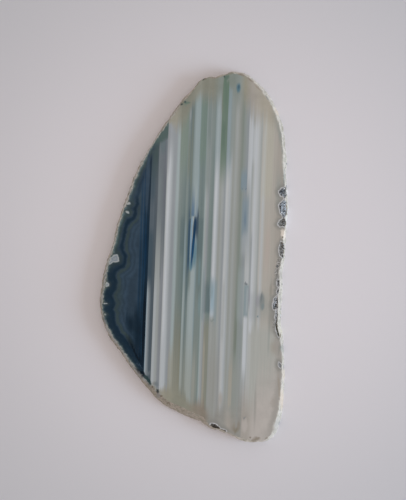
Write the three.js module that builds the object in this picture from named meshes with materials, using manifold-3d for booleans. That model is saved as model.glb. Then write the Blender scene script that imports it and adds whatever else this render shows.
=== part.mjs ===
// A polished slice of banded agate, about 154 mm long and 77 mm wide, lying on its back face.
// It is one piece of stone: two flat sawn faces, a natural rough skin round the rim that
// flares out towards the back, small chips along the polished edge, and pockets lined with
// quartz crystals near the rim.
// Millimetres, +Z up. X runs across the slice, Y along it and Z through its thickness.
import * as THREE from "three";
import { ImprovedNoise } from "three/addons/math/ImprovedNoise.js";
import { mergeVertices } from "three/addons/utils/BufferGeometryUtils.js";
import Module from "manifold-3d";

const wasm = await Module();
wasm.setup();

// Driving dimensions
const THICKNESS = 5.5; // from the back face to the polished front face
const RIM_STATIONS = 320; // points round the rim, about 1.2 mm apart
const RIM_HEIGHTS = [0, 0.06, 0.28, 0.52, 0.76, 0.94, 1]; // rows up the rim, as shares of the thickness
const SKIN_BULGE = 0.35; // how far the rough skin swells past a straight line from back to front
const EDGE_EASE = 0.2; // how far the rim draws in at the two sawn edges

// The polished face's outline, counter-clockwise from the tip, one [x, y, flare] for each turn
// of its shape. Flare is how far the back face reaches out past the polished one there.
const OUTLINE = [
  [15.6, 75.3, 1.2],
  [12.7, 74.4, 1.2],
  [8.0, 73.0, 1.2],
  [6.1, 73.4, 1.2],
  [3.1, 72.5, 0.9],
  [-0.4, 68.5, 1.1],
  [-6.5, 60.9, 1.3],
  [-18.5, 43.3, 1.0],
  [-23.7, 33.4, 1.1],
  [-27.1, 23.5, 1.1],
  [-30.9, 13.0, 1.0],
  [-33.0, 3.9, 1.0],
  [-35.4, -3.9, 1.1],
  [-36.6, -10.4, 1.5],
  [-37.7, -23.2, 0.9],
  [-35.5, -30.6, 0.9],
  [-31.6, -36.7, 1.1],
  [-26.6, -43.8, 1.2],
  [-21.4, -50.1, 1.6],
  [-13.6, -58.1, 2.1],
  [-10.6, -60.3, 2.1],
  [-1.1, -64.9, 2.3],
  [2.9, -66.6, 2.0],
  [6.4, -70.2, 0.6],
  [12.7, -72.6, 0.3],
  [20.8, -75.7, 0.3],
  [26.4, -76.2, 0.3],
  [28.7, -75.7, 0.5],
  [31.3, -72.9, 1.6],
  [32.8, -68.2, 1.9],
  [34.2, -62.4, 1.9],
  [34.8, -55.7, 1.7],
  [35.5, -48.5, 1.2],
  [35.3, -42.1, 1.1],
  [34.6, -34.6, 1.3],
  [33.7, -29.9, 1.5],
  [34.4, -15.8, 1.5],
  [34.8, -8.0, 1.4],
  [36.0, 0.2, 1.2],
  [36.5, 8.0, 1.0],
  [37.2, 16.3, 0.9],
  [37.3, 24.1, 0.9],
  [36.7, 32.4, 1.3],
  [35.9, 47.8, 1.6],
  [34.6, 54.8, 1.6],
  [31.5, 61.9, 1.8],
  [28.6, 66.5, 2.2],
  [23.9, 71.5, 2.0],
  [20.6, 74.2, 1.5],
  [18.2, 74.8, 1.3],
];

// Lumps in the rough skin: [size of a lump, how far it stands in or out]
const SKIN_LUMPS = [
  [8.0, 0.4],
  [3.0, 0.55],
];

// Pockets near the rim, each an uneven half egg: its middle, its half width across the slice, its
// half length along it, its depth, its turn in degrees and how many crystals line it
const FRONT_POCKETS = [
  { x: 36.5, y: 25.3, across: 1.5, along: 1.8, depth: 2.6, turn: 8, crystals: 6 },
  { x: 36.6, y: 18.7, across: 1.9, along: 3.4, depth: 3.2, turn: -4, crystals: 12 },
  { x: 35.7, y: 12.7, across: 1.9, along: 1.8, depth: 2.6, turn: 40, crystals: 6 },
  { x: 36.0, y: 0.8, across: 1.3, along: 3.6, depth: 2.2, turn: 14, crystals: 8 },
  { x: 34.0, y: -13.6, across: 0.7, along: 1.9, depth: 1.6, turn: 0, crystals: 0 },
  { x: 33.8, y: -21.0, across: 1.3, along: 2.9, depth: 2.2, turn: -8, crystals: 6 },
  { x: 33.6, y: -26.7, across: 0.8, along: 2.5, depth: 1.8, turn: 4, crystals: 3 },
  { x: 34.1, y: -32.1, across: 0.8, along: 2.2, depth: 1.8, turn: 18, crystals: 3 },
  { x: 35.2, y: -45.7, across: 0.8, along: 1.1, depth: 1.4, turn: 30, crystals: 0 },
  { x: 8.0, y: -70.6, across: 2.1, along: 0.9, depth: 1.9, turn: -20, crystals: 4 },
  { x: 11.3, y: -72.2, across: 1.7, along: 0.5, depth: 1.2, turn: -20, crystals: 0 },
];
const BACK_POCKETS = [
  { x: 36.6, y: 21.5, across: 1.4, along: 3.2, depth: 1.6, turn: 0, crystals: 5 },
  { x: 35.4, y: -2.6, across: 1.2, along: 2.4, depth: 1.5, turn: 6, crystals: 3 },
  { x: 34.4, y: -23.5, across: 1.3, along: 3.6, depth: 1.6, turn: -3, crystals: 5 },
];
const POCKET_LUMP = 0.3; // how uneven a pocket's wall is, as a share of its size
const POCKET_LUMP_SIZE = 0.8; // the size of those lumps, as a share of the pocket
const FINE_POCKET = 2.6; // a pocket with a longer half length gets finer facets
const CRYSTAL_RADIUS = 0.36;
const CRYSTAL_LENGTH = 1.15;
const CRYSTAL_ROOT = 0.6; // how far a crystal is rooted in the pocket's wall
const CRYSTAL_BACKING = 0.3; // the least stone behind a crystal, in from the rim
const GOLDEN_ANGLE = 137.5; // degrees from one crystal to the next round a pocket

// Chips along the polished edge: [station as a share of the way round, width, bite]
const CHIPS = [
  [0.03, 1.2, 0.4],
  [0.075, 2.0, 0.5],
  [0.125, 1.4, 0.45],
  [0.19, 1.1, 0.35],
  [0.235, 1.8, 0.5],
  [0.27, 1.2, 0.5],
  [0.315, 1.5, 0.35],
  [0.352, 1.1, 0.4],
  [0.405, 1.7, 0.45],
  [0.44, 1.2, 0.5],
  [0.475, 1.6, 0.4],
  [0.6, 1.3, 0.45],
  [0.655, 1.8, 0.5],
  [0.7, 1.2, 0.4],
  [0.865, 1.5, 0.45],
  [0.91, 2.1, 0.4],
  [0.955, 1.2, 0.35],
];

const noise = new ImprovedNoise();

// Smooth noise at a point, between about -1 and 1, for lumps of the given size.
function lumpAt(point, size, seed = 0) {
  return noise.noise(point.x / size + seed, point.y / size - seed, point.z / size + 0.5 * seed);
}

// A number between 0 and 1 that looks random but is the same each time.
function scatter(index, salt) {
  const wave = Math.sin(index * 12.9898 + salt * 78.233) * 43758.5453;
  return wave - Math.floor(wave);
}

// The rim's stations: a point on the polished edge, the way out from the stone, and the flare.
function rimStations() {
  const turns = OUTLINE.map(([x, y, flare]) => new THREE.Vector3(x, y, flare));
  const curve = new THREE.CatmullRomCurve3(turns, true, "centripetal");
  const points = curve.getSpacedPoints(RIM_STATIONS).slice(0, RIM_STATIONS);
  return points.map((point, i) => {
    const before = points[(i + RIM_STATIONS - 1) % RIM_STATIONS];
    const after = points[(i + 1) % RIM_STATIONS];
    const out = new THREE.Vector2(after.y - before.y, before.x - after.x).normalize();
    return { x: point.x, y: point.y, flare: point.z, out };
  });
}

// A point of the rough skin, at a station and a share of the way up.
function skinPoint(station, height) {
  const slope = station.flare * (1 - height);
  const bulge = SKIN_BULGE * Math.sin(Math.PI * height);
  const atEdge = height === 0 || height === 1;
  const smooth = new THREE.Vector3(station.x, station.y, THICKNESS * height);
  const lumps = SKIN_LUMPS.reduce(
    (sum, [size, reach], k) => sum + reach * lumpAt(smooth, size, 11 * k),
    0,
  );
  const reach = slope + bulge + lumps - (atEdge ? EDGE_EASE : 0);
  smooth.x += station.out.x * reach;
  smooth.y += station.out.y * reach;
  return smooth;
}

// The slice before its pockets: rows of skin points between two flat sawn faces.
function slabGeometry(stations) {
  const rows = RIM_HEIGHTS.map((height) => stations.map((s) => skinPoint(s, height)));
  const positions = rows.flat().flatMap((p) => [p.x, p.y, p.z]);
  const around = RIM_STATIONS;
  const faces = [];
  for (let row = 0; row < rows.length - 1; row++) {
    for (let i = 0; i < around; i++) {
      const a = row * around + i;
      const b = row * around + ((i + 1) % around);
      faces.push(a, b, b + around, a, b + around, a + around);
    }
  }
  const top = (rows.length - 1) * around;
  const flat = (row) => row.map((p) => new THREE.Vector2(p.x, p.y));
  for (const [a, b, c] of THREE.ShapeUtils.triangulateShape(flat(rows.at(-1)), [])) {
    faces.push(top + a, top + b, top + c);
  }
  for (const [a, b, c] of THREE.ShapeUtils.triangulateShape(flat(rows[0]), [])) {
    faces.push(c, b, a);
  }
  const geometry = new THREE.BufferGeometry();
  geometry.setAttribute("position", new THREE.Float32BufferAttribute(positions, 3));
  geometry.setIndex(faces);
  return geometry;
}

// A three.js geometry as a solid that can be joined and cut.
function solidFrom(geometry) {
  const bare = geometry.clone();
  bare.deleteAttribute("normal");
  bare.deleteAttribute("uv");
  const merged = mergeVertices(bare, 1e-4);
  return new wasm.Manifold(
    new wasm.Mesh({
      numProp: 3,
      vertProperties: new Float32Array(merged.attributes.position.array),
      triVerts: new Uint32Array(merged.index.array),
    }),
  );
}

// A solid back as a three.js geometry.
function geometryFrom(solid) {
  const mesh = solid.getMesh();
  const geometry = new THREE.BufferGeometry();
  const positions = new Float32Array(mesh.numVert * 3);
  for (let i = 0; i < mesh.numVert; i++) {
    const at = i * mesh.numProp;
    positions.set(mesh.vertProperties.subarray(at, at + 3), i * 3);
  }
  geometry.setAttribute("position", new THREE.BufferAttribute(positions, 3));
  geometry.setIndex(new THREE.BufferAttribute(new Uint32Array(mesh.triVerts), 1));
  geometry.computeVertexNormals();
  return geometry;
}

// The hollow of a pocket: an uneven egg, half of it above the face that it opens in.
function pocketHollow(pocket, faceZ) {
  const detail = pocket.along > FINE_POCKET ? 2 : 1;
  const egg = mergeVertices(
    new THREE.IcosahedronGeometry(1, detail).deleteAttribute("normal").deleteAttribute("uv"),
  );
  const place = egg.attributes.position;
  const point = new THREE.Vector3();
  for (let i = 0; i < place.count; i++) {
    point.fromBufferAttribute(place, i);
    const seed = pocket.x + pocket.y;
    point.multiplyScalar(1 + POCKET_LUMP * lumpAt(point, POCKET_LUMP_SIZE, seed));
    place.setXYZ(i, point.x, point.y, point.z);
  }
  egg.scale(pocket.across, pocket.along, pocket.depth);
  egg.rotateZ(THREE.MathUtils.degToRad(pocket.turn));
  egg.translate(pocket.x, pocket.y, faceZ);
  return solidFrom(egg);
}

// One quartz crystal: a six-sided prism with a point, its root at the origin, standing along +Y.
function crystalGeometry(size) {
  const radius = CRYSTAL_RADIUS * size;
  const length = CRYSTAL_LENGTH * size;
  const profile = [
    new THREE.Vector2(0, -CRYSTAL_ROOT),
    new THREE.Vector2(radius, -CRYSTAL_ROOT),
    new THREE.Vector2(radius, length * 0.5),
    new THREE.Vector2(0, length),
  ];
  return new THREE.LatheGeometry(profile, 6);
}

// How far a point stands out past the polished edge: negative inside the stone.
function pastEdge(stations, point) {
  const gap = (s) => Math.hypot(point.x - s.x, point.y - s.y);
  const nearest = stations.reduce((best, s) => (gap(s) < gap(best) ? s : best));
  return (point.x - nearest.x) * nearest.out.x + (point.y - nearest.y) * nearest.out.y;
}

// The crystals that line a pocket, pointing in from its wall and floor. None grows where the
// pocket is open to the side.
function pocketCrystals(stations, pocket, faceZ, inwards) {
  const up = new THREE.Vector3(0, 1, 0);
  const turn = THREE.MathUtils.degToRad(pocket.turn);
  const crystals = [];
  for (let i = 0; i < pocket.crystals; i++) {
    const around = i * THREE.MathUtils.degToRad(GOLDEN_ANGLE);
    const down = 0.35 + (0.65 * (i + 0.5)) / pocket.crystals;
    const ring = Math.sqrt(1 - down * down);
    const wall = new THREE.Vector3(
      Math.cos(around) * ring * pocket.across,
      Math.sin(around) * ring * pocket.along,
      inwards * down * pocket.depth,
    );
    const root = wall.clone().applyAxisAngle(new THREE.Vector3(0, 0, 1), turn);
    root.add(new THREE.Vector3(pocket.x, pocket.y, faceZ));
    if (pastEdge(stations, root) > -CRYSTAL_BACKING) continue;
    const lean = new THREE.Vector3(
      scatter(i, pocket.x) - 0.5,
      scatter(i, pocket.y) - 0.5,
      -inwards * 0.8,
    );
    const pointing = wall.clone().negate().normalize().add(lean).normalize();
    const crystal = crystalGeometry(0.7 + 0.6 * scatter(i, 3.1));
    crystal.applyQuaternion(new THREE.Quaternion().setFromUnitVectors(up, pointing));
    crystal.rotateZ(turn);
    crystal.translate(root.x, root.y, root.z);
    crystals.push(solidFrom(crystal));
  }
  return crystals;
}

// The bite that a chip takes out of the polished edge.
function chipBite(stations, [share, width, bite]) {
  const station = stations[Math.round(share * RIM_STATIONS) % RIM_STATIONS];
  const edge = skinPoint(station, 1);
  const shell = new THREE.IcosahedronGeometry(1, 1);
  shell.scale(bite, width * 0.5, bite);
  shell.rotateZ(Math.atan2(station.out.y, station.out.x));
  shell.translate(edge.x + station.out.x * 0.1, edge.y + station.out.y * 0.1, THICKNESS);
  return solidFrom(shell);
}

function agateSlice() {
  const stations = rimStations();
  const slab = solidFrom(slabGeometry(stations));
  const hollows = [
    ...FRONT_POCKETS.map((pocket) => pocketHollow(pocket, THICKNESS)),
    ...BACK_POCKETS.map((pocket) => pocketHollow(pocket, 0)),
    ...CHIPS.map((chip) => chipBite(stations, chip)),
  ];
  const crystals = [
    ...FRONT_POCKETS.flatMap((pocket) => pocketCrystals(stations, pocket, THICKNESS, -1)),
    ...BACK_POCKETS.flatMap((pocket) => pocketCrystals(stations, pocket, 0, 1)),
  ];
  const cut = wasm.Manifold.difference([slab, ...hollows]);
  const lining = wasm.Manifold.union(crystals).intersect(slab);
  const geometry = geometryFrom(cut.add(lining));
  const stone = new THREE.MeshStandardMaterial({
    color: 0x9aa29c,
    roughness: 0.15,
    metalness: 0,
  });
  const slice = new THREE.Mesh(geometry, stone);
  slice.name = "agate_slice";
  return slice;
}

// The frame's origin is under the middle of the slice, on the surface it lies on.
function centred(mesh) {
  mesh.geometry.computeBoundingBox();
  const box = mesh.geometry.boundingBox;
  const middle = box.getCenter(new THREE.Vector3());
  mesh.geometry.translate(-middle.x, -middle.y, -box.min.z);
  return mesh;
}

const part = new THREE.Group();
part.add(centred(agateSlice()));

export default part;
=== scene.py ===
"""Looks for a polished slice of banded agate: its fine surface, its straight bands and dye
stains, its rough rim and the quartz crystals in its rim pockets, on a pale floor in soft light."""

import math

import bmesh
import bpy
import numpy as np
from bpy.props import FloatProperty, FloatVectorProperty, IntProperty, PointerProperty
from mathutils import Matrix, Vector, geometry, noise


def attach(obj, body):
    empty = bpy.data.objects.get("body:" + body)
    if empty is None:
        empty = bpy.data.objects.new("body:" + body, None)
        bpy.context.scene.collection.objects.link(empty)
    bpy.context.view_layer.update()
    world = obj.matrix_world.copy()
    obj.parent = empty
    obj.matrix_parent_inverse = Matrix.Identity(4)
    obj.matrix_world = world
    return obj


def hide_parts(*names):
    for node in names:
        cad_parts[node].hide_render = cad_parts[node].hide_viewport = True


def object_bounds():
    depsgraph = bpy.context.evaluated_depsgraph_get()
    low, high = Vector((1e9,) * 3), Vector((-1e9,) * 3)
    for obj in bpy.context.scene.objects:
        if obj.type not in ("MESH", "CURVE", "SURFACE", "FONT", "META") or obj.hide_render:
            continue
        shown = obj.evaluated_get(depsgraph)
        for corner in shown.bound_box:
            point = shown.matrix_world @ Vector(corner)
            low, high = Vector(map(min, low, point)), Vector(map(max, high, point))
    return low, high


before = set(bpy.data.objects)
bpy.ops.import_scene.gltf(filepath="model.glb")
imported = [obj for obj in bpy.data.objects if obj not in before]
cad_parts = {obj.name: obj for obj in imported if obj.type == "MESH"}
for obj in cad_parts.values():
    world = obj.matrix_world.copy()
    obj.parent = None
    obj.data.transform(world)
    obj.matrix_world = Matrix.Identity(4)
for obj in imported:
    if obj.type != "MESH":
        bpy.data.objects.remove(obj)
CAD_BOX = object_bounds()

bl_info = {
    "name": "Agate Slice",
    "version": (1, 0, 0),
    "blender": (4, 5, 0),
    "location": "View3D > Sidebar > Agate",
    "description": "Makes a polished agate slice with bands, dye stains, a rough rim and crystals",
    "category": "Object",
}

MM = 0.001
SLICE_NODE = "agate_slice"

# The polished face's outline in mm, counter-clockwise from the tip: x, y and how far the back
# face reaches out past the polished one there. It is the solid's own outline.
OUTLINE = [
    (15.6, 75.3, 1.2), (12.7, 74.4, 1.2), (8.0, 73.0, 1.2), (6.1, 73.4, 1.2), (3.1, 72.5, 0.9),
    (-0.4, 68.5, 1.1), (-6.5, 60.9, 1.3), (-18.5, 43.3, 1.0), (-23.7, 33.4, 1.1),
    (-27.1, 23.5, 1.1), (-30.9, 13.0, 1.0), (-33.0, 3.9, 1.0), (-35.4, -3.9, 1.1),
    (-36.6, -10.4, 1.5), (-37.7, -23.2, 0.9), (-35.5, -30.6, 0.9), (-31.6, -36.7, 1.1),
    (-26.6, -43.8, 1.2), (-21.4, -50.1, 1.6), (-13.6, -58.1, 2.1), (-10.6, -60.3, 2.1),
    (-1.1, -64.9, 2.3), (2.9, -66.6, 2.0), (6.4, -70.2, 0.6), (12.7, -72.6, 0.3),
    (20.8, -75.7, 0.3), (26.4, -76.2, 0.3), (28.7, -75.7, 0.5), (31.3, -72.9, 1.6),
    (32.8, -68.2, 1.9), (34.2, -62.4, 1.9), (34.8, -55.7, 1.7), (35.5, -48.5, 1.2),
    (35.3, -42.1, 1.1), (34.6, -34.6, 1.3), (33.7, -29.9, 1.5), (34.4, -15.8, 1.5),
    (34.8, -8.0, 1.4), (36.0, 0.2, 1.2), (36.5, 8.0, 1.0), (37.2, 16.3, 0.9), (37.3, 24.1, 0.9),
    (36.7, 32.4, 1.3), (35.9, 47.8, 1.6), (34.6, 54.8, 1.6), (31.5, 61.9, 1.8), (28.6, 66.5, 2.2),
    (23.9, 71.5, 2.0), (20.6, 74.2, 1.5), (18.2, 74.8, 1.3),
]

# Pockets in mm: middle x, y, half width, half length, depth, turn in degrees, and whether the
# pocket is open to the side of the slice
FRONT_POCKETS = [
    (36.5, 25.2, 1.6, 2.0, 1.8, 8, True), (36.8, 18.8, 1.9, 3.6, 2.0, -8, True),
    (36.1, 12.6, 1.75, 1.5, 1.7, 25, True), (35.8, 1.0, 1.05, 3.5, 1.6, 8, True),
    (34.15, -12.3, 0.55, 1.4, 1.6, 5, False), (34.1, -15.7, 0.5, 1.0, 1.4, -5, False),
    (33.3, -20.5, 1.4, 2.5, 1.3, -10, False), (33.35, -26.0, 0.5, 2.6, 0.9, 2, False),
    (33.75, -31.4, 0.6, 3.0, 0.9, 14, False), (34.7, -45.8, 0.5, 1.1, 0.8, 30, False),
    (33.7, -5.3, 0.35, 0.5, 0.8, 0, False), (34.9, -6.3, 0.3, 0.6, 0.7, 0, False),
    (8.0, -70.6, 2.1, 0.9, 1.9, -20, False), (11.3, -72.2, 1.7, 0.5, 1.2, -20, False),
]
BACK_POCKETS = [
    (36.6, 21.5, 1.4, 3.2, 1.6, 0, False), (35.4, -2.6, 1.2, 2.4, 1.5, 6, False),
    (34.4, -23.5, 1.3, 3.6, 1.6, -3, False),
]

# Pale grains caught in the dark side, in mm: middle x, y, half width, half length, turn
PALE_GRAINS = [
    (-32.8, -2.2, 1.85, 1.6, 15), (-34.4, -3.6, 1.2, 0.7, 40), (-35.9, -12.8, 0.8, 1.0, 0),
    (-27.3, 20.6, 0.9, 0.5, 10), (-27.8, 17.0, 0.9, 0.4, -30), (-36.5, -20.7, 0.9, 0.2, 0),
    (-36.6, -25.1, 0.6, 0.25, 0),
]

# How the bands lie: x shifts by the lean for each mm of y, and they spread towards the tip
BAND_LEAN = 0.038
BAND_SPREAD = 0.000175
BAND_MIDDLE = 3.3
DARK_SIDE_EDGE = -19.07

# The bands from the dark side to the pocket side: where each tone stands, in mm across
BANDS = [
    (-19.2, "tarn"), (-17.8, "tarn"), (-16.7, "tarn_light"), (-16.3, "tarn_light"),
    (-15.9, "slate_light"), (-15.2, "slate_light"), (-13.9, "slate"), (-12.95, "slate"),
    (-12.5, "milk"), (-12.1, "white"), (-11.6, "white"), (-10.8, "pale"), (-9.9, "fog"),
    (-9.1, "fog"), (-8.5, "foam"), (-7.9, "foam"), (-7.2, "sage_light"), (-5.9, "sage"),
    (-4.8, "sage_dark"), (-4.3, "sage_light"), (-3.75, "sage"), (-3.2, "sage_deep"),
    (-2.5, "sage_dark"), (-1.85, "sage_light"), (-1.25, "foam"), (-0.1, "foam"), (0.4, "sea"),
    (0.95, "sage"), (2.1, "sage_dark"), (2.9, "sage"), (3.35, "foam"), (3.8, "mist"),
    (4.6, "fog"), (5.3, "sage_light"), (6.1, "sage"), (6.65, "sage"), (7.05, "pale"),
    (7.5, "white"), (8.0, "white"), (8.6, "pale"), (9.3, "pebble"), (10.3, "mist"),
    (11.4, "fog"), (11.95, "milk"), (12.5, "milk"), (13.4, "pale"), (14.4, "pebble"),
    (15.4, "mist"), (16.5, "pebble"), (17.9, "reed_dark"), (18.6, "reed"), (20.2, "fog"),
    (20.7, "mist"), (21.8, "pale"), (22.5, "mist"), (23.05, "milk"), (23.6, "white"),
    (24.4, "milk"), (25.7, "mist"), (26.3, "sand_light"), (27.1, "milk"), (28.2, "sand"),
    (30.2, "sand"), (34.5, "greige"),
]

# The dark side's own bands next to its straight edge
DARK_BANDS = [
    (-30.0, "navy"), (-25.0, "navy"), (-23.2, "navy_light"), (-22.4, "navy_blue"),
    (-21.9, "navy_light"), (-21.4, "navy_blue"), (-20.9, "navy_deep"), (-20.5, "navy_blue"),
    (-20.1, "navy_deep"), (-19.75, "navy_deep"),
]

# The dark side's lines that follow its rim: how far in each tone stands, in mm
WRAP_TONES = [
    (0.0, "lichen_dark"), (0.4, "sage_deep"), (0.85, "pine"), (1.35, "spruce"), (2.0, "navy"),
    (2.7, "navy_deep"), (3.3, "navy_deep"), (3.8, "navy"), (4.2, "spruce"), (4.9, "spruce"),
    (5.3, "navy"), (6.1, "navy_light"), (6.9, "navy"), (7.7, "navy_light"), (9.0, "navy"),
]

# How far the clear stone along the rim reaches down from the tip and up from the foot: where
# across the bands, and how far in mm
TIP_LINING = [
    (-19.0, 0.2), (-13.5, 0.8), (-12.0, 2.5), (-10.0, 8.0), (-8.0, 12.0), (-6.0, 13.0),
    (-4.0, 8.5), (-2.0, 7.0), (0.0, 8.5), (3.0, 11.5), (5.0, 12.0), (7.0, 11.5), (8.4, 11.0),
    (9.3, 0.4), (11.3, 5.0), (13.0, 9.5), (15.0, 12.0), (18.0, 13.0), (20.0, 15.0),
    (22.0, 16.0), (24.0, 15.5), (26.0, 13.0), (28.5, 10.0), (31.0, 6.0),
]
FOOT_LINING = [
    (-19.0, 0.3), (-16.0, 1.0), (-13.0, 1.6), (-12.0, 3.0), (-10.0, 5.5), (-8.0, 7.0),
    (-6.0, 8.5), (-4.5, 8.0), (-2.0, 6.0), (0.0, 4.0), (1.5, 4.5), (3.0, 6.0), (5.0, 7.5),
    (7.5, 6.0), (10.0, 5.0), (11.5, 11.0), (14.0, 13.5), (16.5, 11.0), (19.0, 12.0),
    (20.5, 18.0), (21.5, 24.0), (24.0, 20.0), (26.0, 17.0), (28.0, 30.0), (32.0, 30.0),
]
LONGEST_LINING = 32.0

# The clear stone's tones along the tip and along the foot
TIP_TONES = [
    (-14.0, "khaki"), (-9.5, "khaki"), (-7.5, "olive_dim"), (-4.0, "olive_dim"), (-2.0, "olive"),
    (0.0, "olive"), (1.5, "olive_dim"), (5.0, "olive_dim"), (8.0, "reed_dark"), (13.5, "reed_dark"),
    (16.0, "reed"), (18.0, "khaki"), (21.0, "greige"), (25.0, "oat"), (29.0, "oat"),
    (33.0, "pebble"),
]
FOOT_TONES = [
    (-16.0, "pebble"), (-11.0, "khaki"), (-6.0, "olive"), (-2.0, "olive"), (3.0, "umber"),
    (6.5, "umber"), (8.5, "stone"), (14.0, "stone"), (16.0, "greige"), (18.0, "greige_dark"),
    (20.0, "stone"), (21.35, "stone"), (21.6, "greige"), (24.0, "greige"), (26.5, "shell"),
    (33.0, "shell"),
]

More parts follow.
